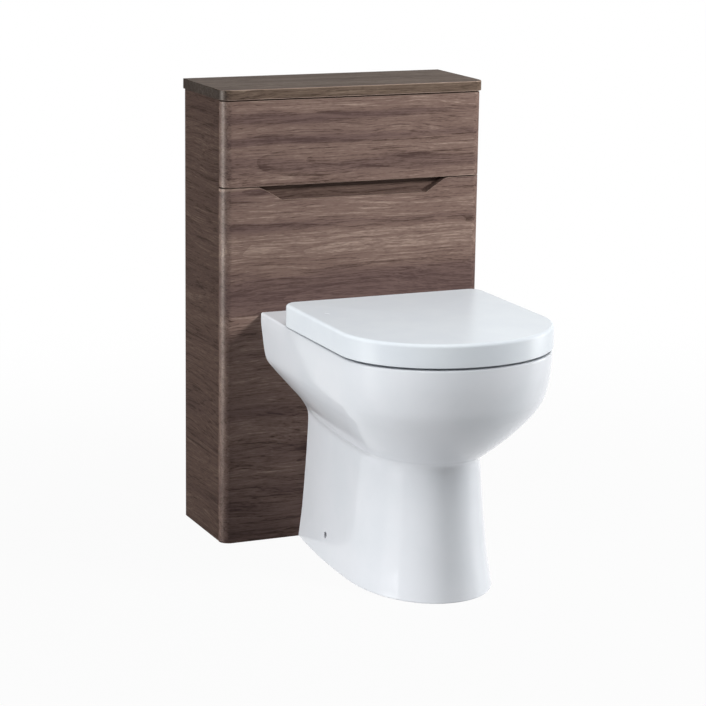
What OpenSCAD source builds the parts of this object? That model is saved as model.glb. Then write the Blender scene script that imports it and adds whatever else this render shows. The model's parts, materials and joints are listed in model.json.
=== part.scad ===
// Floor-standing toilet furniture unit: an open-backed cabinet with a lift-off
// worktop, a pull-off upper front, a concealed cistern and a back-to-wall pan
// with a wrap-over seat and lid. Millimetres. +Z is up, the front faces -Y and
// the back edge of the cabinet stands against the wall.

/* [Cabinet] */
// Width across the fronts
cabinet_w = 500; // [480:10:600]
// Depth from the face of the fronts to the wall
cabinet_d = 194; // [190:2:240]
// Height of the side panels
carcass_h = 797; // [780:1:860]
// Thickness of the side panels and rails
board_t = 18; // [16:1:22]
// Thickness of the two fronts
front_t = 20; // [18:1:24]
// Radius of the upright outer edges of the fronts
front_edge_r = 18; // [6:1:18]
// Height of the upper front
upper_front_h = 151; // [135:1:165]
// Gap between the fronts, and under the worktop
panel_gap = 2; // [1:0.5:4]

/* [Worktop] */
// Thickness of the worktop
worktop_t = 18; // [15:1:30]
// Overhang of the worktop at the front and sides
worktop_overhang = 3; // [0:0.5:10]

/* [Finger pull] */
// Width of the cut-out at the top of the lower front
recess_top_w = 359; // [300:1:380]
// Width of the cut-out at its bottom
recess_bottom_w = 277; // [220:1:280]
// Depth of the cut-out below the top of the lower front
recess_h = 22; // [18:1:30]
// Radius where the slopes meet the top of the front
recess_top_r = 30; // [10:1:35]
// Radius in the bottom corners of the cut-out
recess_bottom_r = 6; // [2:1:10]

/* [Rails] */
// Height of the rail under the front of the worktop
top_rail_h = 70; // [60:1:80]
// Height of the rear rail that carries the cistern
hanging_rail_h = 110; // [100:1:120]
// Height of the rail behind the finger pull
pull_rail_h = 110; // [100:1:130]
// Height of the two rails near the floor
base_rail_h = 70; // [60:1:90]
// Height of the base rails above the floor
base_rail_z = 20; // [10:1:40]

/* [Pan] */
// Height of the rim above the floor
rim_h = 420; // [400:5:440]
// Reach of the rim in front of the cabinet
rim_reach = 528.5; // [500:0.5:560]
// Half the width of the rim
rim_a = 184; // [178:0.5:188]
// Half the width of the waist between foot and bowl
waist_a = 102.5; // [95:0.5:110]
// Reach of the waist in front of the cabinet
waist_reach = 413.5; // [390:0.5:430]
// Height of the waist
waist_z = 226; // [215:1:235]
// Half the width of the foot
foot_a = 122.5; // [112:0.5:130]
// Reach of the foot in front of the cabinet
foot_reach = 445; // [425:1:470]
// Thickness of the ceramic at the back and the foot
ceramic_t = 13; // [10:0.5:15]
// Thickness of the deck under the hinges
deck_t = 14; // [12:0.5:18]
// Rounding of the rim's outer edge
rim_edge_r = 10; // [6:1:12]
// Height of the soil outlet's centre
outlet_z = 185; // [180:1:190]
// Depth of the flush inlet's centre below the rim
inlet_drop = 75; // [72:1:85]

/* [Seat] */
// Half the width of the lid
lid_a = 188; // [186:0.5:196]
// Reach of the lid in front of the cabinet
lid_reach = 531; // [525:0.5:545]
// Back edge of the lid, in front of the cabinet
lid_back = 121; // [115:1:130]
// Length of the lid's rounded nose
lid_nose = 159; // [140:1:180]
// Radius of the lid's back corners
lid_corner_r = 24; // [15:1:30]
// Gap between the rim and the lid's lower edge
lid_gap = 4; // [3:0.5:6]
// Height of the lid's side wall
lid_h = 39; // [37:1:46]
// Rise of the lid's crown
lid_crown = 2.5; // [0:0.5:5]
// Thickness of the lid's wall
lid_wall = 4.5; // [3:0.5:5]
// Radius of the lid's upper edge
lid_edge_r = 9; // [5:1:10]
// Spacing of the two hinge posts
hinge_spacing = 155; // [140:5:170]
// Radius of a hinge pin
hinge_pin_r = 5; // [4:0.5:6]

/* [Cistern] */
// Width of the cistern
tank_w = 380; // [340:10:400]
// Depth of the cistern
tank_d = 120; // [110:2:130]
// Height of the cistern's floor above the flush inlet's centre
tank_rise = 110; // [104:1:125]
// Wall of the cistern
tank_wall = 3.5; // [3:0.5:5]
// Outer radius of the flush pipe
flush_pipe_r = 19; // [16:0.5:20]
// Outer radius of the soil pipe
soil_pipe_r = 55; // [50:1:55]
// Place of the inlet valve to the right of the middle
fill_x = 130; // [120:5:140]

/* [Hidden] */
$fn = 48;

// Fits: a slide or a turning shaft, a push-in piece, and faces of moving pieces
run_fit = 0.05;
push_fit = 0.03;
face_gap = 0.3;
// Everything is drawn with the face of the fronts at y = 0 and then moved so
// that the middle of the whole footprint is the origin.
origin_y = (lid_reach - cabinet_d) / 2;
inner_w = cabinet_w - 2 * board_t;
upper_front_z = carcass_h - panel_gap / 2 - upper_front_h;
lower_front_h = upper_front_z - panel_gap;
inlet_z = rim_h - inlet_drop;
wood = "#6f5f57";
board_back = "#8a7a6c";
ceramic = "#d9dce0";
zinc = "#b9bcc0";
white_plastic = "#e9eaea";
black_rubber = "#222222";

// Each rail: [y of its front face, z of its bottom, height, 1 when its inner
// face looks back and -1 when it looks forward]
TOP_RAIL = [front_t, carcass_h - top_rail_h, top_rail_h, 1];
HANGING_RAIL = [cabinet_d - board_t, carcass_h - hanging_rail_h, hanging_rail_h, -1];
// Rise of the rail behind the finger pull above the lower front
pull_rail_rise = 50;
PULL_RAIL = [front_t, lower_front_h + pull_rail_rise - pull_rail_h, pull_rail_h, 1];
BASE_FRONT = [front_t, base_rail_z, base_rail_h, 1];
BASE_REAR = [cabinet_d - board_t, base_rail_z, base_rail_h, -1];
RAILS = [TOP_RAIL, HANGING_RAIL, PULL_RAIL, BASE_FRONT, BASE_REAR];

// Cam joint: a round lock in the rail draws on a bolt in the side panel
cam_r = 7.5;
cam_h = 12.5;
cam_inset = 24;
cam_bolt_r = 3;
cam_bolt_in_side = 11;
cam_bore_r = 3.6;
cam_up = 20;
dowel_r = 4;
dowel_len = 30;
dowel_up = 46;

// Locating pins between worktop and rails
pin_r = 4;
pin_in_top = 10;
pin_below = 10;
bush_r = 6;
bush_h = 13;
pin_x = cabinet_w / 2 - 90;
PIN_SPOTS = [for (s = [-1, 1], y = [front_t + board_t / 2, cabinet_d - board_t / 2]) [s * pin_x, y]];
worktop_z = carcass_h + face_gap;

// Push-in studs that hold the upper front
stud_r = 4;
stud_in_panel = 12;
stud_reach = 13;
socket_r = 7;
socket_h = 14.5;
flange_r = 9;
flange_t = 1.2;
stud_x = cabinet_w / 2 - 80;
stud_zs = [lower_front_h + 27, carcass_h - 44];
STUD_SPOTS = [for (s = [-1, 1], z = stud_zs) [s * stud_x, z]];

// Blocks between the side panels and the lower front
block_w = 20;
block_h = 40;
screw_r = 1.75;
screw_head_r = 3.5;
screw_head_h = 2;
screw_len = block_w + 12;
BLOCK_ZS = [for (share = [0.22, 0.51, 0.81]) share * lower_front_h];

// Steel angles that tie the cabinet to the wall
bracket_t = 2.5;
bracket_h = 40;
bracket_leg = 34;
bracket_z = carcass_h - hanging_rail_h - bracket_h - 10;
wall_hole_r = 2.75;
wall_hole_x = inner_w / 2 - 20;

// Plan of the pan at a height: [z, half width at the cabinet, half width,
// reach, length of the nose]. The foot and the bowl's belly share the waist.
function mix(a, b, f) = a + (b - a) * f;
function bowl_station(z, back_w, f) =
    [z, back_w, mix(waist_a, rim_a, f), mix(waist_reach, rim_reach, f), mix(150, 158, f)];
back_foot_w = foot_a - 20;
back_waist_w = waist_a - 17;
back_rim_w = rim_a - 6.5;
function foot_station(z, f) =
    [z, mix(back_waist_w, back_foot_w, f), mix(waist_a, foot_a, f),
     mix(waist_reach, foot_reach, f), mix(150, 178, f)];
function belly(share, back_f, f) =
    bowl_station(mix(waist_z, rim_h, share), mix(back_waist_w, back_rim_w, back_f), f);
rim_station = bowl_station(rim_h, back_rim_w, 1);
PAN_STATIONS = [
    foot_station(0, 1), foot_station(14, 0.9), foot_station(55, 0.6),
    foot_station(105, 0.37), foot_station(155, 0.17), foot_station(200, 0.03),
    belly(0, 0, 0), belly(0.072, 0.04, 0.14), belly(0.165, 0.17, 0.33), belly(0.289, 0.40, 0.55),
    belly(0.448, 0.70, 0.785), belly(0.552, 0.87, 0.89), belly(0.639, 0.925, 0.94),
    belly(0.794, 0.97, 0.988), belly(0.907, 1, 1),
    bowl_station(rim_h - rim_edge_r, back_rim_w, 1),
];
nose_n = 2.1;
// Points on half a plan: along the back, the side and the nose
BACK_STEPS = 3;
SIDE_STEPS = 5;
NOSE_STEPS = 12;
HALF_STEPS = BACK_STEPS + SIDE_STEPS + NOSE_STEPS;
function curve(c, n) = pow(max(c, 0), 2 / n);
function mirrored(half) = concat(half, [for (i = [HALF_STEPS - 1:-1:1]) [-half[i][0], half[i][1]]]);
function at_height(plan, z) = [for (p = plan) [p[0], p[1], z]];
// D-shaped plan of the pan, drawn in by inset on all sides but the back,
// which is drawn in by back_inset
function pan_plan(s, inset = 0, back_inset = 0) =
    let (w = s[1] - inset, a = s[2] - inset, reach = s[3] - inset, nose = s[4] - inset)
    mirrored(concat(
        [for (i = [0:BACK_STEPS - 1]) [w * i / BACK_STEPS, -back_inset]],
        [for (i = [0:SIDE_STEPS - 1]) let (t = i / SIDE_STEPS)
            [mix(w, a, 1 - pow(1 - t, 2)), mix(-back_inset, nose - reach, t)]],
        [for (i = [0:NOSE_STEPS]) let (f = 90 * i / NOSE_STEPS)
            [a * curve(cos(f), nose_n), nose - reach - nose * curve(sin(f), nose_n)]]));
// Egg-shaped plan of the bowl's opening, from y = -back to y = -front
function bowl_plan(a, back, front) =
    let (middle = (back + front) / 2, b = (front - back) / 2, behind = BACK_STEPS + SIDE_STEPS)
    mirrored(concat(
        [for (i = [0:behind - 1]) let (f = 90 * i / behind)
            [a * curve(sin(f), 2.3), b * curve(cos(f), 2.3) - middle]],
        [for (i = [0:NOSE_STEPS]) let (f = 90 * i / NOSE_STEPS)
            [a * curve(cos(f), 2.2), -middle - b * curve(sin(f), 2.2)]]));
// Plan of lid or ring with rounded back corners, drawn in by inset
function seat_plan(inset, back, corner) =
    let (a = lid_a - inset, reach = lid_reach - inset, nose = lid_nose - inset)
    mirrored(concat(
        [for (i = [0:BACK_STEPS - 1]) [(a - corner) * i / BACK_STEPS, -back]],
        [for (i = [0:SIDE_STEPS - 1]) let (f = 90 * i / (SIDE_STEPS - 1))
            [a - corner + corner * sin(f), -back - corner + corner * cos(f)]],
        [for (i = [0:NOSE_STEPS]) let (f = 90 * i / NOSE_STEPS)
            [a * cos(f), nose - reach - nose * sin(f)]]));

// Closed shell through a list of rings with the same count of points, the first
// ring drawn to a point and the last one too
module loft(rings, first, last) {
    count = len(rings);
    ring = len(rings[0]);
    points = concat([for (r = rings) for (p = r) p], [first, last]);
    faces = concat(
        [for (i = [0:ring - 1]) [count * ring, (i + 1) % ring, i]],
        [for (k = [0:count - 2], i = [0:ring - 1], h = [0, 1])
            let (j = (i + 1) % ring, a = k * ring, b = (k + 1) * ring)
            h == 0 ? [a + i, a + j, b + j] : [a + i, b + j, b + i]],
        [for (i = [0:ring - 1])
            [(count - 1) * ring + i, (count - 1) * ring + (i + 1) % ring, count * ring + 1]]);
    polyhedron(points, faces);
}
// Closed tube through rings that end where they start
module ring_loft(rings) {
    count = len(rings);
    ring = len(rings[0]);
    polyhedron([for (r = rings) for (p = r) p],
        [for (k = [0:count - 1], i = [0:ring - 1], h = [0, 1])
            let (j = (i + 1) % ring, a = k * ring, b = ((k + 1) % count) * ring)
            h == 0 ? [a + i, a + j, b + j] : [a + i, b + j, b + i]]);
}
module placed() translate([0, origin_y, 0]) children();
module both_sides() for (s = [-1, 1]) scale([s, 1, 1]) children();
module along_x(x, y, z, r, h) translate([x, y, z]) rotate([0, 90, 0]) cylinder(r = r, h = h);
module along_y(x, y, z, r, h) translate([x, y, z]) rotate([-90, 0, 0]) cylinder(r = r, h = h);
module tube(r, bore, h) difference() {
    cylinder(r = r, h = h);
    translate([0, 0, -1]) cylinder(r = bore, h = h + 2);
}
// Rectangle with round corners, centred
module round_rect(w, d, r) difference() {
    square([w, d], center = true);
    for (a = [-1, 1], b = [-1, 1]) scale([a, b]) translate([w / 2 - r, d / 2 - r]) difference() {
        square([r + 1, r + 1]);
        circle(r);
    }
}
// Plan of a board with rounded front corners, its face on y = 0
module front_plan(w, d, r) difference() {
    translate([-w / 2, 0]) square([w, d]);
    for (s = [-1, 1]) scale([s, 1]) translate([w / 2 - r, r]) scale([1, -1]) difference() {
        square([r + 1, r + 1]);
        circle(r);
    }
}
// Screw along +Z from the underside of its head
module screw(r, length, head_r, head_h) {
    translate([0, 0, -head_h]) cylinder(r1 = head_r * 0.75, r2 = head_r, h = head_h);
    cylinder(r = r, h = length - 2 * r);
    translate([0, 0, length - 2 * r]) cylinder(r1 = r, r2 = 0.3, h = 2 * r);
}

// Cabinet

// Places of the cam bolt and the wooden dowel at one end of a rail
function cam_z(rail) = rail[1] + cam_up;
function dowel_z(rail) = rail[1] + min(dowel_up, rail[2] - 16);
function rail_mid_y(rail) = rail[0] + board_t / 2;
module side_panel() placed() color(wood) difference() {
    translate([inner_w / 2, front_t, 0]) cube([board_t, cabinet_d - front_t, carcass_h]);
    for (rail = RAILS) {
        along_x(inner_w / 2 - 1, rail_mid_y(rail), cam_z(rail), cam_bolt_r + push_fit,
            cam_bolt_in_side + 1.2);
        along_x(inner_w / 2 - 1, rail_mid_y(rail), dowel_z(rail), dowel_r + push_fit, dowel_len / 2 - 3);
    }
    for (z = BLOCK_ZS) along_x(inner_w / 2 - 1, front_t + block_w / 2, z - 10, screw_r + push_fit, 14);
    for (z = [10, bracket_h - 10])
        along_x(inner_w / 2 - 1, bracket_screw_y, bracket_z + z, screw_r + push_fit, 14);
}
module side_panel_right() side_panel();
module side_panel_left() mirror([1, 0, 0]) side_panel();

// Board between the side panels with its cam pockets and dowel holes
module rail(r) difference() {
    translate([-inner_w / 2, r[0], r[1]]) cube([inner_w, board_t, r[2]]);
    pocket_y = r[3] > 0 ? r[0] + board_t - cam_h - 0.5 : r[0] - 1;
    both_sides() {
        along_y(inner_w / 2 - cam_inset, pocket_y, cam_z(r), cam_r + push_fit, cam_h + 1.5);
        along_x(inner_w / 2 - cam_inset, rail_mid_y(r), cam_z(r), cam_bore_r, cam_inset + 1);
        along_x(inner_w / 2 - dowel_len / 2 - 2, rail_mid_y(r), dowel_z(r), dowel_r + push_fit, dowel_len);
    }
}
// Holes for the bushes in a rail's upper edge
module bush_holes(y) for (spot = PIN_SPOTS) if (spot[1] == y)
    translate([spot[0], spot[1], carcass_h - bush_h - 2]) cylinder(r = bush_r + push_fit, h = bush_h + 3);
// Stepped holes for the sockets in a rail's front face
module socket_holes(z) both_sides() {
    along_y(stud_x, front_t - 1, z, socket_r + push_fit, socket_h + 1.5);
    along_y(stud_x, front_t - 1, z, flange_r + push_fit, flange_t + 1);
}
module top_front_rail() placed() color(board_back) difference() {
    rail(TOP_RAIL);
    bush_holes(rail_mid_y(TOP_RAIL));
    socket_holes(stud_zs[1]);
}
module hanging_rail() placed() color(board_back) difference() {
    rail(HANGING_RAIL);
    bush_holes(rail_mid_y(HANGING_RAIL));
    both_sides() along_y(hang_x, tank_back_y - 1, hang_z, hang_nut_r + push_fit, hang_nut_h + 1);
}
module finger_pull_rail() placed() color(wood) difference() {
    rail(PULL_RAIL);
    socket_holes(stud_zs[0]);
}
module base_front_rail() placed() color(board_back) rail(BASE_FRONT);
module base_rear_rail() placed() color(board_back) rail(BASE_REAR);

// Round locks with a cross slot, flush with the rail's inner face
module cam_locks() placed() color(zinc) for (r = RAILS) both_sides()
    translate([inner_w / 2 - cam_inset, r[3] > 0 ? r[0] + board_t : r[0], cam_z(r)])
        rotate([r[3] > 0 ? 90 : -90, 0, 0]) difference() {
            cylinder(r = cam_r, h = cam_h);
            for (a = [0, 90]) rotate([0, 0, a]) translate([-4.5, -0.7, -1]) cube([9, 1.4, 3]);
            translate([cam_r - 4, 0, board_t / 2]) rotate([0, 90, 0]) cylinder(r = cam_bore_r, h = 5);
        }
module cam_bolts() placed() color(zinc) for (r = RAILS) both_sides() {
    end_x = inner_w / 2 - cam_inset + cam_r - 3;
    along_x(end_x, rail_mid_y(r), cam_z(r), cam_bolt_r, inner_w / 2 + cam_bolt_in_side - end_x);
}
module wood_dowels() placed() color("#c9ab7c") for (r = RAILS) both_sides()
    translate([inner_w / 2 - dowel_len / 2 - 1.5, rail_mid_y(r), dowel_z(r)]) rotate([0, 90, 0]) {
        cylinder(r1 = dowel_r - 0.8, r2 = dowel_r, h = 1);
        translate([0, 0, 1]) cylinder(r = dowel_r, h = dowel_len - 5);
        translate([0, 0, dowel_len - 4]) cylinder(r1 = dowel_r, r2 = dowel_r - 0.8, h = 1);
    }

module worktop() placed() color(wood) difference() {
    translate([0, -worktop_overhang, worktop_z]) linear_extrude(worktop_t)
        front_plan(cabinet_w + 2 * worktop_overhang, cabinet_d + worktop_overhang,
            front_edge_r + worktop_overhang);
    for (spot = PIN_SPOTS) translate([spot[0], spot[1], worktop_z - 1])
        cylinder(r = pin_r + push_fit, h = pin_in_top + 1.5);
}
module worktop_pins() placed() color(zinc) for (spot = PIN_SPOTS)
    translate([spot[0], spot[1], worktop_z - pin_below]) {
        cylinder(r1 = pin_r - 1.5, r2 = pin_r, h = 2);
        translate([0, 0, 2]) cylinder(r = pin_r, h = pin_below + pin_in_top - 2);
    }
module pin_bushes() placed() color(white_plastic) for (spot = PIN_SPOTS)
    translate([spot[0], spot[1], carcass_h - bush_h]) tube(bush_r, pin_r + run_fit, bush_h);

// Fronts: boards whose upright outer edges are rounded
module front_upper_panel() placed() color(wood) difference() {
    translate([0, 0, upper_front_z]) linear_extrude(upper_front_h)
        front_plan(cabinet_w, front_t - face_gap, front_edge_r);
    for (spot = STUD_SPOTS)
        along_y(spot[0], front_t - stud_in_panel - 0.5, spot[1], stud_r + push_fit, stud_in_panel + 1);
}
module panel_studs() placed() color(white_plastic) for (spot = STUD_SPOTS) {
    along_y(spot[0], front_t - stud_in_panel, spot[1], stud_r, stud_in_panel + stud_reach - 2);
    translate([spot[0], front_t + stud_reach - 2, spot[1]]) rotate([-90, 0, 0])
        cylinder(r1 = stud_r, r2 = stud_r - 1.5, h = 2);
}
module panel_sockets() placed() color(white_plastic) for (spot = STUD_SPOTS)
    translate([spot[0], front_t, spot[1]]) rotate([-90, 0, 0]) difference() {
        union() {
            cylinder(r = flange_r, h = flange_t);
            cylinder(r = socket_r, h = socket_h);
        }
        translate([0, 0, -1]) cylinder(r = stud_r + run_fit, h = socket_h + 2);
    }

// Arc points that round one corner of an outline, from the side of a to that of c
function rounded_corner(a, b, c, r, steps = 6) =
    let (u = (a - b) / norm(a - b), v = (c - b) / norm(c - b),
         half = acos(u * v) / 2, to_middle = (u + v) / norm(u + v),
         middle = b + to_middle * r / sin(half), start = b + u * r / tan(half),
         from = start - middle, turn = 180 - 2 * half, way = cross(u, v) > 0 ? -1 : 1)
    [for (i = [0:steps]) let (t = way * turn * i / steps)
        middle + [from[0] * cos(t) - from[1] * sin(t), from[0] * sin(t) + from[1] * cos(t)]];
// Trapezium with soft shoulders that makes the finger pull
module recess_outline() {
    top = recess_top_w / 2;
    bottom = recess_bottom_w / 2;
    far = [top + 60, 0];
    shoulder = rounded_corner(far, [top, 0], [bottom, -recess_h], recess_top_r);
    foot = rounded_corner([top, 0], [bottom, -recess_h], [0, -recess_h], recess_bottom_r);
    half = concat(shoulder, foot);
    last = len(half) - 1;
    edge = half[0][0];
    polygon(concat([[edge, 5]], half, [for (i = [last:-1:0]) [-half[i][0], half[i][1]]], [[-edge, 5]]));
}
module front_lower_panel() placed() color(wood) difference() {
    linear_extrude(lower_front_h) front_plan(cabinet_w, front_t, front_edge_r);
    translate([0, front_t + 1, lower_front_h]) rotate([90, 0, 0])
        linear_extrude(front_t + 2) recess_outline();
    along_y(0, -1, outlet_z, soil_pipe_r + 7, front_t + 2);
    along_y(0, -1, inlet_z, flush_pipe_r + 8, front_t + 2);
    both_sides() for (z = BLOCK_ZS)
        along_y(inner_w / 2 - block_w / 2, front_t - 12.5, z + 10, screw_r + push_fit, 14);
}

// Plastic blocks in the corners behind the lower front, each with two screws
module corner_blocks() placed() color(white_plastic) both_sides() for (z = BLOCK_ZS)
    translate([inner_w / 2 - block_w, front_t, z - block_h / 2]) difference() {
        cube([block_w, block_w, block_h]);
        along_x(-1, block_w / 2, block_h / 2 - 10, screw_r + 0.3, block_w + 2);
        along_y(block_w / 2, -1, block_h / 2 + 10, screw_r + 0.3, block_w + 2);
    }
module block_screws() placed() color(zinc) both_sides() for (z = BLOCK_ZS) {
    translate([inner_w / 2 - block_w, front_t + block_w / 2, z - 10]) rotate([0, 90, 0])
        screw(screw_r, screw_len, screw_head_r, screw_head_h);
    translate([inner_w / 2 - block_w / 2, front_t + block_w, z + 10]) rotate([90, 0, 0])
        screw(screw_r, screw_len, screw_head_r, screw_head_h);
}

bracket_screw_y = cabinet_d - bracket_leg + 10;
// Angle brackets with one leg on the side panel and one along the wall
module wall_brackets() placed() color(zinc) both_sides() translate([0, 0, bracket_z]) difference() {
    union() {
        translate([inner_w / 2 - bracket_t, cabinet_d - bracket_leg, 0])
            cube([bracket_t, bracket_leg, bracket_h]);
        translate([inner_w / 2 - bracket_leg, cabinet_d - bracket_t, 0])
            cube([bracket_leg, bracket_t, bracket_h]);
    }
    for (z = [10, bracket_h - 10])
        along_x(inner_w / 2 - bracket_t - 1, bracket_screw_y, z, screw_r + push_fit, bracket_t + 2);
    along_y(wall_hole_x, cabinet_d - bracket_t - 1, bracket_h / 2, wall_hole_r, bracket_t + 2);
}
module bracket_screws() placed() color(zinc) both_sides() for (z = [10, bracket_h - 10])
    translate([inner_w / 2 - bracket_t, bracket_screw_y, bracket_z + z]) rotate([0, 90, 0])
        screw(screw_r, bracket_t + 12, screw_head_r, screw_head_h);

// Pan

deck_under_z = rim_h - deck_t;
hinge_y = -lid_back - 13;
hinge_z = rim_h + 25.5;
hinge_x = hinge_spacing / 2;
hinge_bolt_r = 4;
hinge_hole_r = 7;
// Depth of the seat for the flush cone, and where the horn meets the bowl
hollow_depth = lid_back + 39;
inlet_reach = 205;
spigot_r = soil_pipe_r - 4;
spigot_bore = spigot_r - 9;
spigot_end = 45;
trap_bend = 45;
trap_turn = 60;
trap_leg = 112;
trap_step = 15;
trap_sides = 24;
trap_r = 33;
trap_wall = 7;
inlet_seat_r = flush_pipe_r + 8.5;
inlet_bore = inlet_seat_r - 5;
inlet_mouth = 20;
side_hole_y = -145;
side_hole_z = 44;
side_recess_r = 6;
side_screw_r = 2.5;
// Half width of the foot at a distance in front of the cabinet and a height,
// or of its hollow with an inset
function foot_half_w(y, z, inset = 0) =
    let (s = foot_station(z, 0.9 - (z - 14) * 0.3 / 41), t = (y - inset) / (s[3] - s[4] - inset))
    mix(s[1], s[2], 1 - pow(1 - t, 2)) - inset;
side_face_x = foot_half_w(-side_hole_y, side_hole_z);

// The bowl from its opening down to the sump: [z, half width, back, front].
// Under the lip of the rim it widens into the channel that spreads the flush.
bowl_a = rim_a - 36;
bowl_front = rim_reach - 32;
bowl_back = 203;
sump_z = 110;
sump_y = 304;
lip_h = 36;
lip_t = 6;
channel_w = 12;
function bowl_ring(z, grow) = [z, bowl_a + grow, bowl_back - grow, bowl_front + grow];
function bowl_row(share, half_w, back, front) =
    [mix(sump_z, rim_h, share), bowl_a - half_w, bowl_back + back, bowl_front - front];
RIM_LIP = [
    bowl_ring(rim_h, 5), bowl_ring(rim_h - 1.5, 1.5), bowl_ring(rim_h - 5, 0),
    bowl_ring(rim_h - lip_h + 3, 0), bowl_ring(rim_h - lip_h, 2), bowl_ring(rim_h - lip_h + 1, lip_t),
    bowl_ring(rim_h - deck_t - 4, lip_t + 1), bowl_ring(rim_h - deck_t - 1, lip_t + 3),
    bowl_ring(rim_h - deck_t - 4, channel_w),
];
BOWL_WALL = [
    bowl_ring(rim_h - lip_h, channel_w), bowl_row(0.820, -4, 0, -4), bowl_row(0.760, 8, 6, 10),
    bowl_row(0.677, 23, 13, 30), bowl_row(0.565, 48, 27, 62), bowl_row(0.468, 71, 43, 91),
    bowl_row(0.394, 88, 59, 114), bowl_row(0.306, 102, 73, 134), bowl_row(0.177, 110, 78, 146),
    bowl_row(0.026, 116, 67, 156),
];
SUMP_EDGE = [bowl_row(0.003, 126, 77, 168)];
RIM_ROUND = [for (f = [30, 60, 90]) [rim_h - rim_edge_r * (1 - sin(f)), rim_edge_r * (1 - cos(f))]];
// Closed body of bowl rings listed from the top down
module bowl_loft(rings, low) loft(
    [for (i = [len(rings) - 1:-1:0]) let (b = rings[i]) at_height(bowl_plan(b[1], b[2], b[3]), b[0])],
    [0, -sump_y, low], [0, -sump_y, rings[0][0]]);
// Outer form of the pan, closed across the rim
module pan_outside() loft(
    concat(
        [for (s = PAN_STATIONS) at_height(pan_plan(s), s[0])],
        [for (e = RIM_ROUND) at_height(pan_plan(rim_station, e[1]), e[0])]),
    [0, -waist_reach / 2, 0], [0, -waist_reach / 2, rim_h]);
// Space inside the skirt, open at the foot and at the back
SKIRT_STATIONS = [
    foot_station(-1, 1), foot_station(55, 0.6), foot_station(155, 0.17), belly(0, 0, 0),
    belly(0.165, 0.17, 0.33), belly(0.448, 0.70, 0.785), belly(0.639, 0.925, 0.94),
    bowl_station(deck_under_z - 12, back_rim_w, 1),
];
module skirt_space() loft(
    concat(
        [for (s = SKIRT_STATIONS) at_height(pan_plan(s, ceramic_t, -1), s[0])],
        [at_height(pan_plan(rim_station, ceramic_t + 12, -1), deck_under_z)]),
    [0, -waist_reach / 2, -1], [0, -waist_reach / 2, deck_under_z]);
// Walls of the bowl inside the skirt
bowl_t = 11;
BOWL_SHELL = [for (b = BOWL_WALL)
    [b == BOWL_WALL[0] ? deck_under_z + 4 : b[0], b[1] + bowl_t, b[2] - bowl_t, b[3] + bowl_t]];
// Centre line of the water way from the sump over the weir: [y, z, slope]
trap_drop = trap_bend * (1 - cos(trap_turn));
trap_run = trap_bend * sin(trap_turn);
trap_y = -spigot_end - 50;
weir_y = trap_y - 2 * trap_run;
function trap_path(leg) = concat(
    [[weir_y - trap_run - leg * cos(trap_turn), outlet_z + trap_drop - leg * sin(trap_turn), trap_turn]],
    [for (f = [trap_turn:-trap_step:-trap_turn])
        [weir_y - trap_bend * sin(f), outlet_z + 2 * trap_drop - trap_bend * (1 - cos(f)), f]],
    [for (f = [trap_step - trap_turn:trap_step:0])
        [trap_y + trap_bend * sin(f), outlet_z + trap_bend * (1 - cos(f)), f]],
    [[trap_y + 20, outlet_z, 0]]);
module trap(r, leg) {
    path = trap_path(leg);
    loft([for (p = path) [for (i = [0:trap_sides - 1]) let (t = 360 * i / trap_sides)
            [r * cos(t), p[0] - r * sin(t) * sin(p[2]), p[1] + r * sin(t) * cos(p[2])]]],
        [0, path[0][0], path[0][1]], [0, trap_y + 20, outlet_z]);
}
// Glazed pan: a skirt round the bowl, the trap and the horn of the flush inlet
module pan() placed() color(ceramic) difference() {
    union() {
        difference() {
            pan_outside();
            skirt_space();
        }
        bowl_loft(BOWL_SHELL, sump_z - bowl_t);
        trap(trap_r + trap_wall, trap_leg + trap_wall);
        along_y(0, trap_y, outlet_z, spigot_r, -spigot_end - trap_y);
        along_y(0, -inlet_reach, inlet_z, inlet_seat_r + 7, inlet_reach - inlet_mouth);
    }
    bowl_loft(concat([bowl_ring(rim_h + 1, 6)], RIM_LIP, BOWL_WALL, SUMP_EDGE), sump_z);
    trap(trap_r, trap_leg);
    along_y(0, trap_y + 9, outlet_z, spigot_bore, -spigot_end - trap_y);
    along_y(0, -hollow_depth - 5, inlet_z, inlet_seat_r, hollow_depth + 6 - inlet_mouth);
    along_y(0, -inlet_reach - 20, inlet_z, inlet_bore, inlet_reach - inlet_mouth);
    both_sides() {
        translate([hinge_x, hinge_y, deck_under_z - 5]) cylinder(r = hinge_hole_r, h = deck_t + 10);
        along_x(side_face_x - 5, side_hole_y, side_hole_z, side_recess_r, 30);
        along_x(side_face_x - 30, side_hole_y, side_hole_z, side_screw_r + 0.5, 40);
    }
}

// Plastic angles inside the foot: a screw through the ceramic holds each one
side_screw_x = side_face_x - 5;
bracket_boss_x = foot_half_w(-side_hole_y - 8, side_hole_z + 8, ceramic_t) - 0.1;
pan_bracket_x = foot_half_w(-side_hole_y - 18, side_hole_z + 18, ceramic_t) - 0.6;
floor_hole_x = pan_bracket_x - 22;
floor_hole_r = 3;
module pan_brackets() placed() color(white_plastic) both_sides() difference() {
    union() {
        translate([pan_bracket_x - 4, side_hole_y - 18, 0]) cube([4, 36, side_hole_z + 18]);
        translate([pan_bracket_x - 36, side_hole_y - 18, 0]) cube([36, 36, 4]);
        along_x(pan_bracket_x - 8, side_hole_y, side_hole_z, 8, bracket_boss_x - pan_bracket_x + 8);
        for (y = [side_hole_y - 18, side_hole_y + 15]) translate([pan_bracket_x - 2, y + 3, 3])
            rotate([90, 0, 0]) linear_extrude(3) polygon([[0, 0], [-32, 0], [0, side_hole_z - 8]]);
    }
    along_x(pan_bracket_x - 9, side_hole_y, side_hole_z, side_screw_r + push_fit, 20);
    translate([floor_hole_x, side_hole_y, -1]) cylinder(r = floor_hole_r, h = 6);
}
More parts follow.
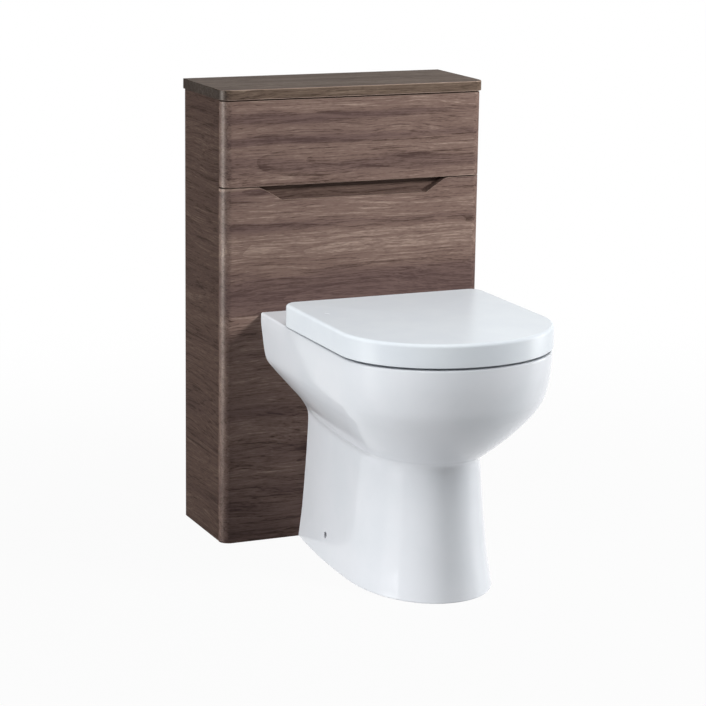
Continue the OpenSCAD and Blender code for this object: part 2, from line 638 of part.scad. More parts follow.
module pan_side_screws() placed() color(zinc) both_sides()
    translate([side_screw_x, side_hole_y, side_hole_z]) rotate([0, -90, 0])
        screw(side_screw_r, side_screw_x - pan_bracket_x + 12, side_recess_r - 1.5, 3);

// Seat and lid

post_w = 20;
lug_w = 16;
knuckle_r = 9.5;
post_flange_r = 17;
post_flange_t = 3;
lid_z = rim_h + lid_gap;
lid_ceiling_z = lid_z + lid_h - lid_wall;
ring_z = lid_z + 2;
ring_top_z = lid_ceiling_z - 6.5;
ring_inset = lid_wall + 2.5;
ring_back = lid_back + 37;
ring_hole_a = 112;
ring_hole_back = 226;
ring_hole_front = lid_reach - 53;
hinge_pin_start = hinge_x - post_w / 2 - face_gap - lug_w;
hinge_pin_len = 2 * (lug_w + face_gap) + post_w;
module hinge_posts() placed() color(zinc) both_sides() difference() {
    union() {
        translate([hinge_x, hinge_y, rim_h]) cylinder(r = post_flange_r, h = post_flange_t - 1);
        translate([hinge_x, hinge_y, rim_h + post_flange_t - 1])
            cylinder(r1 = post_flange_r, r2 = post_flange_r - 1.5, h = 1);
        translate([hinge_x - post_w / 2, hinge_y - 8, rim_h]) cube([post_w, 16, hinge_z - rim_h]);
        along_x(hinge_x - post_w / 2, hinge_y, hinge_z, knuckle_r, post_w);
    }
    along_x(hinge_x - post_w, hinge_y, hinge_z, hinge_pin_r + push_fit, 2 * post_w);
    translate([hinge_x, hinge_y, rim_h - 1]) cylinder(r = hinge_bolt_r + push_fit, h = 16.2);
}
module hinge_pins() placed() color(zinc) both_sides()
    along_x(hinge_pin_start + 0.5, hinge_y, hinge_z, hinge_pin_r, hinge_pin_len - 1);
module hinge_bolts() placed() color(zinc) both_sides()
    translate([hinge_x, hinge_y, deck_under_z - 26]) {
        cylinder(r1 = hinge_bolt_r - 1, r2 = hinge_bolt_r, h = 1);
        translate([0, 0, 1]) cylinder(r = hinge_bolt_r, h = deck_t + 26 + 14);
    }
module hinge_washers() placed() color(black_rubber) both_sides()
    translate([hinge_x, hinge_y, deck_under_z - 4]) tube(hinge_hole_r + 6, hinge_bolt_r + push_fit, 4);
module hinge_wing_nuts() placed() color(white_plastic) both_sides()
    translate([hinge_x, hinge_y, deck_under_z - 16]) difference() {
        union() {
            cylinder(r = 9, h = 12);
            for (a = [0, 180]) rotate([0, 0, a]) translate([6, -1.5, 0]) cube([12, 3, 10]);
        }
        translate([0, 0, -1]) cylinder(r = hinge_bolt_r + push_fit, h = 14);
    }

function ring_hole(grow) = bowl_plan(ring_hole_a + grow, ring_hole_back - grow, ring_hole_front + grow);
function ring_edge(inset) = seat_plan(ring_inset + inset, ring_back + inset, 20 - min(inset, 16));
// Ring that closes round the opening, its top crowned towards both edges
module seat_ring() placed() color(white_plastic) difference() {
    union() {
        ring_loft([
            at_height(ring_edge(1.5), ring_z), at_height(ring_edge(0), ring_z + 2),
            at_height(ring_edge(0), ring_top_z - 8), at_height(ring_edge(3), ring_top_z - 2.5),
            at_height(ring_edge(14), ring_top_z), at_height(ring_hole(26), ring_top_z),
            at_height(ring_hole(6), ring_top_z - 3), at_height(ring_hole(0), ring_top_z - 8),
            at_height(ring_hole(1), ring_z + 4), at_height(ring_hole(5), ring_z),
        ]);
        both_sides() {
            along_x(hinge_x + post_w / 2 + face_gap, hinge_y, hinge_z, knuckle_r, lug_w);
            translate([hinge_x + post_w / 2 + face_gap, -ring_back - 12, hinge_z - 9])
                cube([lug_w, ring_back + 12 + hinge_y, 14]);
        }
    }
    both_sides() along_x(hinge_x, hinge_y, hinge_z, hinge_pin_r + run_fit, 2 * lug_w);
}
RING_PADS = [[lid_a - 24.5, -250], [95, -lid_reach + 49.4]];
module ring_bumpers() placed() color(white_plastic) both_sides() for (pad = RING_PADS)
    translate([pad[0], pad[1], rim_h + face_gap]) cylinder(r = 6.5, h = ring_z - rim_h - face_gap);

function lid_plan(inset) = seat_plan(inset, lid_back + inset, max(lid_corner_r - inset, 4));
lid_top_z = lid_z + lid_h;
crown_y = -lid_reach * 0.6;
LID_RINGS = concat(
    [at_height(lid_plan(lid_wall + 4), lid_ceiling_z), at_height(lid_plan(lid_wall), lid_ceiling_z - 4),
     at_height(lid_plan(lid_wall - 0.5), lid_z), at_height(lid_plan(1), lid_z),
     at_height(lid_plan(0), lid_z + 1.5), at_height(lid_plan(0.3), lid_top_z - lid_edge_r)],
    [for (f = [22.5:22.5:90]) at_height(lid_plan(0.3 + lid_edge_r * (1 - cos(f))),
        lid_top_z - lid_edge_r * (1 - sin(f)))],
    [at_height(lid_plan(45), lid_top_z + lid_crown * 0.5),
     at_height(lid_plan(100), lid_top_z + lid_crown * 0.9)]);
// Shell that wraps down over the ring, with a soft crown and a rounded edge
module seat_lid() placed() color(white_plastic) difference() {
    union() {
        difference() {
            loft(LID_RINGS, [0, crown_y, lid_ceiling_z], [0, crown_y, lid_top_z + lid_crown]);
            both_sides() translate([hinge_x - post_flange_r - 2, -lid_back - lid_wall - 2, lid_z - 1])
                cube([post_flange_r + post_w / 2 + lug_w + 4, lid_wall + 4, hinge_z + 12 - lid_z]);
        }
        both_sides() {
            along_x(hinge_pin_start, hinge_y, hinge_z, knuckle_r, lug_w);
            translate([hinge_pin_start, hinge_y - 8, hinge_z]) cube([lug_w, 15, lid_ceiling_z + 1 - hinge_z]);
        }
    }
    both_sides() along_x(hinge_pin_start - 1, hinge_y, hinge_z, hinge_pin_r + run_fit, lug_w + 2);
}
LID_PADS = [[lid_a - 43, -250], [95, -lid_reach + 57]];
module lid_bumpers() placed() color(white_plastic) both_sides() for (pad = LID_PADS)
    translate([pad[0], pad[1], ring_top_z + face_gap])
        cylinder(r = 6, h = lid_ceiling_z - ring_top_z - face_gap);

// Cistern

tank_back_y = cabinet_d - board_t;
tank_mid_y = tank_back_y - tank_d / 2;
tank_clear = 62;
tank_top_z = carcass_h - tank_clear;
tank_z = inlet_z + tank_rise;
tank_h = tank_top_z - tank_z;
tank_floor = 4;
tank_corner_r = 14;
hang_x = 120;
hang_z = tank_top_z - 23;
hang_bolt_r = 4;
hang_head_r = 7;
hang_head_h = 5;
hang_washer_t = 2;
hang_nut_r = 6;
hang_nut_h = 13;
tail_r = 28;
tail_bore = 24;
tail_len = 48;
shank_r = 10.4;
shank_free = 28;
module at_tank(x, z) translate([x, tank_mid_y, z]) children();
module cistern_tank() placed() color(white_plastic) difference() {
    at_tank(0, tank_z) linear_extrude(tank_h) round_rect(tank_w, tank_d, tank_corner_r);
    at_tank(0, tank_z + tank_floor) linear_extrude(tank_h)
        round_rect(tank_w - 2 * tank_wall, tank_d - 2 * tank_wall, tank_corner_r - tank_wall);
    at_tank(0, tank_z - 1) cylinder(r = tail_r + 0.3, h = tank_floor + 2);
    at_tank(fill_x, tank_z - 1) cylinder(r = shank_r + 0.7, h = tank_floor + 2);
    both_sides() along_y(hang_x, tank_back_y - tank_wall - 1, hang_z, hang_bolt_r + 0.1, tank_wall + 2);
}
lid_plate_t = 3.5;
bezel_r = 27;
bezel_z = tank_top_z + lid_plate_t;
module cistern_lid() placed() color(white_plastic) difference() {
    union() {
        at_tank(0, tank_top_z) linear_extrude(lid_plate_t) round_rect(tank_w, tank_d, tank_corner_r);
        at_tank(0, tank_top_z - 8) linear_extrude(8.5) difference() {
            round_rect(tank_w - 2 * tank_wall - 0.6, tank_d - 2 * tank_wall - 0.6, tank_corner_r - tank_wall);
            round_rect(tank_w - 2 * tank_wall - 5, tank_d - 2 * tank_wall - 5, tank_corner_r - tank_wall - 2);
        }
    }
    at_tank(0, tank_top_z - 1) cylinder(r = bezel_r + push_fit, h = lid_plate_t + 2);
}
// Hexagon bolts through the back of the cistern into the nuts in the rail
module cistern_bolts() placed() color(zinc) both_sides()
    translate([hang_x, tank_back_y - tank_wall - hang_washer_t, hang_z]) rotate([-90, 0, 0]) {
        translate([0, 0, -hang_head_h]) cylinder(r = hang_head_r, h = hang_head_h, $fn = 6);
        cylinder(r = hang_bolt_r, h = hang_washer_t + tank_wall + hang_nut_h);
    }
// Sealing washers under the heads of the bolts
module cistern_washers() placed() color(black_rubber) both_sides()
    translate([hang_x, tank_back_y - tank_wall - hang_washer_t, hang_z]) rotate([-90, 0, 0])
        tube(hang_head_r + 3, hang_bolt_r + push_fit, hang_washer_t);
// Threaded sleeves let into the rail from its front
module cistern_nuts() placed() color(zinc) both_sides()
    translate([hang_x, tank_back_y, hang_z]) rotate([-90, 0, 0])
        tube(hang_nut_r, hang_bolt_r + push_fit, hang_nut_h);

guide_r = 14;
seat_z = tank_z + tank_floor + 9;
cage_top_z = tank_z + 0.375 * tank_h;
guide_drop = 95;
guide_top_z = tank_top_z - guide_drop;
piston_short = 80;
piston_h = tank_h - piston_short;
cage_r = 32;
module flush_valve() placed() color(white_plastic) {
    floor_z = tank_z + tank_floor;
    at_tank(0, tank_z - tail_len) tube(tail_r, tail_bore, tail_len + tank_floor + 1);
    at_tank(0, floor_z) tube(tail_r + 8, tail_bore, 4);
    at_tank(0, floor_z + 3) tube(tail_r + 1, tail_bore, seat_z - floor_z - 3);
    for (a = [45, 135, 225, 315]) at_tank(0, floor_z + 3) rotate([0, 0, a])
        translate([cage_r - 2, -3, 0]) cube([5, 6, cage_top_z - floor_z - 2]);
    at_tank(0, cage_top_z) tube(cage_r + 4, guide_r + run_fit, 5);
    for (s = [-1, 1]) at_tank(s * (guide_r + 5), cage_top_z + 4) translate([-2, -5, 0])
        cube([4, 10, guide_top_z - cage_top_z - 2]);
    at_tank(0, guide_top_z) tube(guide_r + 9, guide_r + run_fit, 5);
}
module flush_valve_washer() placed() color(black_rubber)
    at_tank(0, tank_z - 4) tube(tail_r + 9, tail_r + push_fit, 4);
module round_nut(r, bore, h) difference() {
    union() {
        cylinder(r = r, h = h);
        for (a = [0:45:315]) rotate([0, 0, a]) translate([r - 1, -2.5, 0]) cube([4, 5, h]);
    }
    translate([0, 0, -1]) cylinder(r = bore, h = h + 2);
}
module flush_valve_nut() placed() color(white_plastic)
    at_tank(0, tank_z - 14) round_nut(tail_r + 6, tail_r + push_fit, 10);
module valve_piston() placed() color("#c8372d") at_tank(0, seat_z + face_gap + 3) {
    tube(guide_r, guide_r - 3, piston_h);
    tube(cage_r - 6, guide_r - 3, 4);
}
module piston_seal() placed() color(black_rubber)
    at_tank(0, seat_z + face_gap) tube(tail_r, guide_r - 2, 3);

// Dual button on the cistern's lid
button_r = bezel_r - 2.4;
button_top_z = bezel_z + 13;
button_split = 5;
button_gap = 0.6;
button_t = 7;
stem_r = 4;
stem_plate_z = bezel_z - 16;
FULL_STEM = -11;
HALF_STEM = 14;
module button_bezel() placed() color(zinc) at_tank(0, 0) difference() {
    union() {
        translate([0, 0, bezel_z - 32]) cylinder(r = bezel_r, h = 33);
        translate([0, 0, bezel_z]) cylinder(r = bezel_r + 9, h = 3);
        translate([0, 0, bezel_z + 3]) cylinder(r1 = bezel_r + 9, r2 = bezel_r + 5, h = 3);
        translate([0, 0, bezel_z + 6]) cylinder(r = bezel_r + 3, h = 8);
    }
    translate([0, 0, stem_plate_z + 4]) cylinder(r = button_r + run_fit, h = 60);
    translate([0, 0, bezel_z - 33]) cylinder(r = button_r, h = stem_plate_z - bezel_z + 33);
    for (x = [FULL_STEM, HALF_STEM]) translate([x, 0, stem_plate_z - 1])
        cylinder(r = stem_r + run_fit, h = 6);
}
// Half-moon button right or left of the split, with a stem through the guide
module button(side, stem_x) at_tank(0, 0) {
    edge_x = button_split + side * button_gap / 2;
    intersection() {
        translate([0, 0, button_top_z - button_t]) cylinder(r = button_r, h = button_t);
        translate([side > 0 ? edge_x : edge_x - 4 * button_r, -bezel_r, 0])
            cube([4 * button_r, 2 * bezel_r, 2 * carcass_h]);
    }
    translate([stem_x, 0, stem_plate_z - 9]) cylinder(r = stem_r, h = button_top_z - stem_plate_z + 4);
}
module full_flush_button() placed() color("silver") button(-1, FULL_STEM);
module half_flush_button() placed() color("silver") button(1, HALF_STEM);

pivot_x = fill_x - 26;
pivot_drop = 58;
pivot_z = tank_top_z - pivot_drop;
pivot_r = 2;
module fill_valve() placed() color(white_plastic) {
    difference() {
        union() {
            at_tank(fill_x, tank_z - 10 - shank_free) cylinder(r = shank_r, h = shank_free);
            at_tank(fill_x, tank_z - 10) cylinder(r = shank_r + 0.4, h = 10 + tank_floor + 1);
            at_tank(fill_x, tank_z + tank_floor) cylinder(r = 17, h = 4);
            at_tank(fill_x, tank_z + tank_floor + 3)
                cylinder(r = 11, h = pivot_z - 16 - tank_z - tank_floor - 3);
            at_tank(fill_x, pivot_z - 17) cylinder(r = 17, h = 30);
            at_tank(fill_x, pivot_z + 13) cylinder(r1 = 17, r2 = 13, h = 4);
            for (s = [-1, 1]) at_tank(0, 0) translate([pivot_x - 5, s * 8 - 1.5, pivot_z - 5])
                cube([fill_x - 12 - pivot_x + 5, 3, 10]);
        }
        at_tank(fill_x, tank_z - 11 - shank_free) cylinder(r = 6, h = 150);
        along_y(pivot_x, tank_mid_y - 12, pivot_z, pivot_r + push_fit, 24);
    }
}
module fill_valve_nut() placed() color(white_plastic)
    at_tank(fill_x, tank_z - 8) round_nut(15, shank_r + 0.4 + push_fit, 8);
module float_pivot_pin() placed() color(zinc) along_y(pivot_x, tank_mid_y - 10, pivot_z, pivot_r, 20);
// Lever with its float, hanging at its lowest when the cistern is empty
float_x = pivot_x - 44;
float_w = 30;
float_h = 40;
float_drop = 22;
module float_arm() placed() color("#3f7fb5") difference() {
    union() {
        along_y(pivot_x, tank_mid_y - 6, pivot_z, 5, 12);
        at_tank(0, 0) translate([float_x - 4, -4, pivot_z - 4]) cube([pivot_x - float_x + 4, 8, 8]);
        at_tank(0, 0) translate([float_x - 4, -4, pivot_z - float_drop - 1]) cube([8, 8, float_drop]);
        at_tank(float_x, pivot_z - float_drop - float_h) linear_extrude(float_h) round_rect(float_w, 56, 8);
    }
    along_y(pivot_x, tank_mid_y - 7, pivot_z, pivot_r + run_fit, 14);
}

// Pipes

flush_bend = 45;
pipe_wall = 2;
tail_end_z = tank_z - tail_len;
module flush_run(r, end) {
    at_tank(0, inlet_z + flush_bend) cylinder(r = r, h = tail_end_z - inlet_z - flush_bend + end);
    translate([0, tank_mid_y - flush_bend, inlet_z + flush_bend]) rotate([0, -90, 0])
        rotate([0, 0, 90]) rotate_extrude(angle = 90) translate([flush_bend, 0]) circle(r);
    along_y(0, -inlet_mouth - 32 - end, inlet_z, r, tank_mid_y - flush_bend + inlet_mouth + 32 + end);
}
module flush_pipe() placed() color(white_plastic) difference() {
    union() {
        flush_run(flush_pipe_r, 0);
        at_tank(0, tail_end_z - 3) cylinder(r = tail_r - 1, h = 3);
    }
    flush_run(flush_pipe_r - pipe_wall, 1);
}
module flush_pipe_nut() placed() color(white_plastic) at_tank(0, tail_end_z - 6) difference() {
    round_nut(tail_r + 6, flush_pipe_r + 0.3, 20);
    translate([0, 0, 3]) cylinder(r = tail_r + push_fit, h = 20);
}
module flush_cone() placed() color(black_rubber) translate([0, -inlet_mouth, inlet_z]) rotate([-90, 0, 0])
    difference() {
        union() {
            translate([0, 0, -30]) cylinder(r1 = inlet_seat_r - 3, r2 = inlet_seat_r - push_fit, h = 15);
            translate([0, 0, -15]) cylinder(r = inlet_seat_r - push_fit, h = 16);
            cylinder(r = inlet_seat_r + 5, h = 5);
        }
        translate([0, 0, -31]) cylinder(r = flush_pipe_r + push_fit, h = 40);
    }
socket_len = 44;
socket_in_r = spigot_r + 7;
socket_y = -spigot_end - socket_len + 6;
outlet_pin_len = 50;
// Socket over the pan's spigot and a straight pipe to the back of the cabinet
module pan_connector() placed() color(white_plastic) translate([0, 0, outlet_z]) rotate([-90, 0, 0])
    rotate_extrude() polygon([
        [socket_in_r, socket_y], [socket_in_r + 5, socket_y], [socket_in_r + 5, socket_y + 5],
        [socket_in_r + 3.5, socket_y + 6.5], [socket_in_r + 3.5, socket_y + socket_len],
        [soil_pipe_r - 0.6, socket_y + socket_len + 5], [soil_pipe_r - 0.6, cabinet_d - outlet_pin_len],
        [soil_pipe_r, cabinet_d - outlet_pin_len], [soil_pipe_r, cabinet_d],
        [soil_pipe_r - 3.2, cabinet_d], [soil_pipe_r - 3.2, socket_y + socket_len],
        [socket_in_r, socket_y + socket_len],
    ]);
// Rubber sleeve with three lips between spigot and socket
lip_pitch = 10;
LIP = [[3, 10], [push_fit, 9], [push_fit, 6], [3, 4]];
module connector_seal() placed() color(black_rubber) translate([0, 0, outlet_z]) rotate([-90, 0, 0])
    rotate_extrude() polygon(concat(
        [[spigot_r + 2, socket_y - 3], [socket_in_r + 5, socket_y - 3], [socket_in_r + 5, socket_y],
         [socket_in_r - push_fit, socket_y], [socket_in_r - push_fit, socket_y + 34],
         [spigot_r + 3, socket_y + 34]],
        [for (k = [2:-1:0], p = LIP) [spigot_r + p[0], socket_y + k * lip_pitch + p[1]]]));

side_panel_left();
side_panel_right();
worktop();
front_upper_panel();
front_lower_panel();
top_front_rail();
hanging_rail();
finger_pull_rail();
base_front_rail();
base_rear_rail();
cam_locks();
cam_bolts();
wood_dowels();
worktop_pins();
pin_bushes();
panel_studs();
panel_sockets();
corner_blocks();
block_screws();
wall_brackets();
bracket_screws();
pan();
pan_brackets();
pan_side_screws();
hinge_posts();
hinge_pins();
hinge_bolts();
hinge_washers();
hinge_wing_nuts();
seat_ring();
ring_bumpers();
seat_lid();
lid_bumpers();
cistern_tank();
cistern_lid();
cistern_bolts();
cistern_washers();
cistern_nuts();
flush_valve();
flush_valve_washer();
flush_valve_nut();
valve_piston();
piston_seal();
button_bezel();
full_flush_button();
half_flush_button();
fill_valve();
fill_valve_nut();
float_arm();
float_pivot_pin();
flush_pipe();
flush_pipe_nut();
flush_cone();
pan_connector();
connector_seal();
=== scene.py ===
import json
import math

import bmesh
import bpy
from mathutils import Matrix, Vector


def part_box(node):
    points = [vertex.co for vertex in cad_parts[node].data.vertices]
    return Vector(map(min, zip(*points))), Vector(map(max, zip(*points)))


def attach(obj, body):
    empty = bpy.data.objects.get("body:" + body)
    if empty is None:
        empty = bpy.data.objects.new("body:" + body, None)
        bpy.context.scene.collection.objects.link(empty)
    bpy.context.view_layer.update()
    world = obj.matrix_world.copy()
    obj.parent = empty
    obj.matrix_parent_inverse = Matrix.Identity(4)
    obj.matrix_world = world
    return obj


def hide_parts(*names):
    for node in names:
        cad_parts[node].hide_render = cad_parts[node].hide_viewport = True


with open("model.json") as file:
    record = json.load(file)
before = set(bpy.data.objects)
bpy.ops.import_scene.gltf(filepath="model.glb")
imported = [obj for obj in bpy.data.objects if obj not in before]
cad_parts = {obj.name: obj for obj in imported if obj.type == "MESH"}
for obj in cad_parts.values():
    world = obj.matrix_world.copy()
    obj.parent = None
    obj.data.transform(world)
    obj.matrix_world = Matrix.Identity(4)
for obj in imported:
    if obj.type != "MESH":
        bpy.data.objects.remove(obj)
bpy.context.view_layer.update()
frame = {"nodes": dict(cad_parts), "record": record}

# Sizes are in millimetres: x to the right, y back from the fronts' face, z up from the floor
MM = 0.001

lower_low, lower_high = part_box("front_lower_panel")
upper_low, upper_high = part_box("front_upper_panel")
worktop_low, worktop_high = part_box("worktop")
side_low, side_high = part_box("side_panel_right")
FACE_Y = lower_low.y

# Cabinet
CABINET_W = (lower_high.x - lower_low.x) / MM
CABINET_D = (side_high.y - FACE_Y) / MM
FRONT_T = (lower_high.y - lower_low.y) / MM
FRONT_EDGE_R = 18
LOWER_FRONT_H = (lower_high.z - lower_low.z) / MM
WORKTOP_OVERHANG = (FACE_Y - worktop_low.y) / MM
SHADOW_GAP = 1.1
EASED_EDGE = 1.1
UPPER_EDGE = 0.6
WORKTOP_EDGE = 1.2
SIDE_EDGE = 1.6
RECESS_TOP_W = 359
RECESS_BOTTOM_W = 277
RECESS_H = 24
RECESS_TOP_R = 30
RECESS_TOP_TURN = math.radians(28)
RECESS_TOP_CUT = RECESS_TOP_R * math.tan(RECESS_TOP_TURN / 2)
RECESS_BOTTOM_CUT = 2.4

# Pan
RIM_H = 420
RIM_HALF_W = 184
RIM_REACH = 528.5
RIM_NOSE = 158
RIM_EDGE_R = 3.5
WAIST_Z = 226
WAIST_HALF_W = 102.5
WAIST_REACH = 413.5
WAIST_NOSE = 150
FOOT_HALF_W = 122.5
FOOT_REACH = 445
FOOT_NOSE = 178
BACK_RIM_W = RIM_HALF_W - 6.5
BACK_WAIST_W = WAIST_HALF_W - 17
BACK_FOOT_W = FOOT_HALF_W - 20
CERAMIC_T = 13
DECK_T = 14
OUTLET_Z = 185
INLET_Z = 345
SOIL_PIPE_R = 55
FLUSH_PIPE_R = 19

# Seat and lid
LID_HALF_W = 188
LID_REACH = 531
LID_BACK = 121
LID_NOSE = 159
LID_CORNER_R = 24
LID_GAP = 4
LID_H = 39
LID_CROWN = 2.5
LID_WALL = 4.5
LID_EDGE_R = 6
HINGE_X = 77.5
HINGE_Y = -LID_BACK - 13
HINGE_Z = RIM_H + 25.5
POST_W = 20
LUG_W = 16
KNUCKLE_R = 9.5
FACE_GAP = 0.3

# How far a cutter runs past the face that it opens
PAST = 1

SMOOTH_ANGLE = math.radians(34)
CRISP_ANGLE = math.radians(40)
MERGE_GAP = 0.01
# Material slot of the lighter edge colour, a painted highlight on the eased arrises
EDGE_HIGHLIGHT_SLOT = 1


def spot(x, y, z):
    """A place on the unit, in the scene's metres."""
    return Vector((x * MM, FACE_Y + y * MM, z * MM))


def mix(a, b, share):
    return a + (b - a) * share


def quarter_turn(step):
    """The angles of a quarter turn without its start, a step being in degrees."""
    return [math.radians(d) for d in range(step, 91, step)]


# Mesh helpers

def new_object(name, data):
    made = bpy.data.objects.new(name, data)
    bpy.context.scene.collection.objects.link(made)
    return made


def mesh_object(name, bm):
    mesh = bpy.data.meshes.new(name)
    bm.to_mesh(mesh)
    bm.free()
    return new_object(name, mesh)


def finished(name, bm, material, body, replaced, edge_highlight_material=None):
    """The mesh as an object that rides on a body and stands for its CAD nodes."""
    bmesh.ops.remove_doubles(bm, verts=bm.verts, dist=MERGE_GAP * MM)
    bmesh.ops.recalc_face_normals(bm, faces=bm.faces)
    piece = mesh_object(name, bm)
    piece.data.shade_smooth()
    piece.data.set_sharp_from_angle(angle=SMOOTH_ANGLE)
    piece.data.materials.append(material)
    if edge_highlight_material:
        piece.data.materials.append(edge_highlight_material)
    even_shading = piece.modifiers.new("even_shading", "WEIGHTED_NORMAL")
    even_shading.keep_sharp = True
    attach(piece, body)
    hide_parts(*replaced)
    return piece


def cutter(bm):
    """A closed mesh as a loose object, to cut a piece or to be joined to it."""
    bmesh.ops.recalc_face_normals(bm, faces=bm.faces)
    return mesh_object("cutter", bm)


def carved(bm, tools, operation="DIFFERENCE"):
    """The mesh after each tool has been taken away from it, or joined to it."""
    blank = cutter(bm)
    for tool in tools:
        step = blank.modifiers.new("step", "BOOLEAN")
        step.object = tool
        step.operation = operation
        step.solver = "EXACT"
    depsgraph = bpy.context.evaluated_depsgraph_get()
    mesh = bpy.data.meshes.new_from_object(blank.evaluated_get(depsgraph))
    result = bmesh.new()
    result.from_mesh(mesh)
    for used in [blank, *tools]:
        bpy.data.objects.remove(used)
    return result


def smooth_rows(rows, steps):
    """More rows between the given ones, on a smooth curve through them."""
    along = [0.0]
    for a, b in zip(rows, rows[1:]):
        along.append(along[-1] + math.dist(a, b))
    slopes = []
    for k in range(len(rows)):
        i = max(k - 1, 0)
        j = min(k + 1, len(rows) - 1)
        slopes.append([(b - a) / (along[j] - along[i]) for a, b in zip(rows[i], rows[j])])
    curve = []
    for k in range(len(rows) - 1):
        span = along[k + 1] - along[k]
        for step in range(steps):
            t = step / steps
            start = (1 + 2 * t) * (1 - t) ** 2
            leave = t * (1 - t) ** 2 * span
            end = t * t * (3 - 2 * t)
            arrive = t * t * (t - 1) * span
            curve.append(tuple(
                start * a + leave * out + end * b + arrive * into
                for a, out, b, into in zip(rows[k], slopes[k], rows[k + 1], slopes[k + 1])
            ))
    curve.append(tuple(rows[-1]))
    return curve


def loft(bm, rings, capped=True):
    """A skin through closed rings of one count, extruded from ring to ring."""
    ring = bmesh.ops.create_circle(bm, cap_ends=False, segments=len(rings[0]), radius=1.0)["verts"]
    for vert, place in zip(ring, rings[0]):
        vert.co = place
    first = ring
    for places in rings[1:]:
        grown = bmesh.ops.extrude_edge_only(bm, edges=ring_edges(bm, ring))["geom"]
        fresh = {v for v in grown if isinstance(v, bmesh.types.BMVert)}
        ring = [next(e.other_vert(v) for e in v.link_edges if e.other_vert(v) in fresh)
                for v in ring]
        for vert, place in zip(ring, places):
            vert.co = place
    if capped:
        bmesh.ops.contextual_create(bm, geom=ring_edges(bm, first))
        bmesh.ops.contextual_create(bm, geom=ring_edges(bm, ring))
    return first, ring


def ring_edges(bm, ring):
    """The edges between the neighbours in a closed ring of vertices."""
    return [bm.edges.get(pair) for pair in zip(ring, ring[1:] + ring[:1])]


def edges_of(verts):
    return {e for v in verts for e in v.link_edges}


def block(bm, low, high):
    """A box between two corners given in millimetres."""
    made = bmesh.ops.create_cube(bm, size=1.0)["verts"]
    low, high = spot(*low), spot(*high)
    for vert in made:
        vert.co = Vector([mix(a, b, c + 0.5) for a, b, c in zip(low, high, vert.co)])
    return made


def round_edges(bm, edges, radius, segments, material=-1):
    bmesh.ops.bevel(
        bm, geom=list(edges), offset=radius * MM, segments=segments, profile=0.5,
        affect="EDGES", material=material, clamp_overlap=True,
    )


def upright(edge):
    """Whether an edge stands nearly straight up."""
    a, b = edge.verts
    return abs(a.co.z - b.co.z) > 0.9 * (a.co - b.co).length


def crisp_edges(bm):
    return [e for e in bm.edges if e.is_manifold and e.calc_face_angle(0) > CRISP_ANGLE]


def ease_board(bm, radius):
    """Eases a board's edges: those of its face get the lighter edge colour, a painted highlight,
    the others the foil.
    """
    middle = sum(v.co.y for v in bm.verts) / len(bm.verts)
    face = [e for e in crisp_edges(bm) if all(v.co.y < middle for v in e.verts)]
    round_edges(bm, face, radius, 2, EDGE_HIGHLIGHT_SLOT)
    rear = [e for e in crisp_edges(bm) if all(v.co.y > middle for v in e.verts)]
    round_edges(bm, rear, radius, 2)


def rod(bm, centre, axis, radius, length, chamfer, sides=48):
    """A turned pin from centre along an axis, its two rims rounded off."""
    turn = Vector((0, 0, 1)).rotation_difference(Vector(axis)).to_matrix().to_4x4()
    place = Matrix.Translation(spot(*centre)) @ turn @ Matrix.Translation((0, 0, length * MM / 2))
    made = bmesh.ops.create_cone(
        bm, cap_ends=True, segments=sides, radius1=radius * MM, radius2=radius * MM,
        depth=length * MM, matrix=place,
    )["verts"]
    rims = {e for e in edges_of(made) if len(e.link_faces) == 2
            and any(len(f.verts) > 4 for f in e.link_faces)}
    if chamfer:
        round_edges(bm, rims, chamfer, 3)


def bar(centre, axis, radius, length, chamfer=0.0):
    """A loose round bar that is joined to a piece, or drills it."""
    bm = bmesh.new()
    rod(bm, centre, axis, radius, length, chamfer)
    return cutter(bm)


# Plans of pan, ring and lid

BACK_STEPS = 6
SIDE_STEPS = 14
NOSE_STEPS = 32
HALF_STEPS = BACK_STEPS + SIDE_STEPS + NOSE_STEPS

# Powers of the curves, 2 being an ellipse and more being squarer
PAN_NOSE_POWER = 2.1
BOWL_BACK_POWER = 2.3
BOWL_FRONT_POWER = 2.2


def power_curve(c, power):
    return max(c, 0.0) ** (2 / power)


def mirrored(half):
    return half + [(-x, y) for x, y in reversed(half[1:HALF_STEPS])]


def at_height(plan, z):
    return [spot(x, y, z) for x, y in plan]


def nose_angles():
    return [math.pi / 2 * i / NOSE_STEPS for i in range(NOSE_STEPS + 1)]


def pan_plan(back_w, half_w, reach, nose, inset=0.0, back_inset=0.0):
    """Straight back, sides that swell forwards and a round nose."""
    back_w, half_w, reach, nose = (v - inset for v in (back_w, half_w, reach, nose))
    half = [(back_w * i / BACK_STEPS, -back_inset) for i in range(BACK_STEPS)]
    for i in range(SIDE_STEPS):
        t = i / SIDE_STEPS
        half.append((mix(back_w, half_w, 1 - (1 - t) ** 2), mix(-back_inset, nose - reach, t)))
    for f in nose_angles():
        half.append((half_w * power_curve(math.cos(f), PAN_NOSE_POWER),
                     nose - reach - nose * power_curve(math.sin(f), PAN_NOSE_POWER)))
    return mirrored(half)


def bowl_plan(half_w, back, front):
    """Egg-shaped opening between two distances in front of the cabinet."""
    middle, half_l, behind = (back + front) / 2, (front - back) / 2, BACK_STEPS + SIDE_STEPS
    half = []
    for i in range(behind):
        f = math.pi / 2 * i / behind
        half.append((half_w * power_curve(math.sin(f), BOWL_BACK_POWER),
                     half_l * power_curve(math.cos(f), BOWL_BACK_POWER) - middle))
    for f in nose_angles():
        half.append((half_w * power_curve(math.cos(f), BOWL_FRONT_POWER),
                     -middle - half_l * power_curve(math.sin(f), BOWL_FRONT_POWER)))
    return mirrored(half)


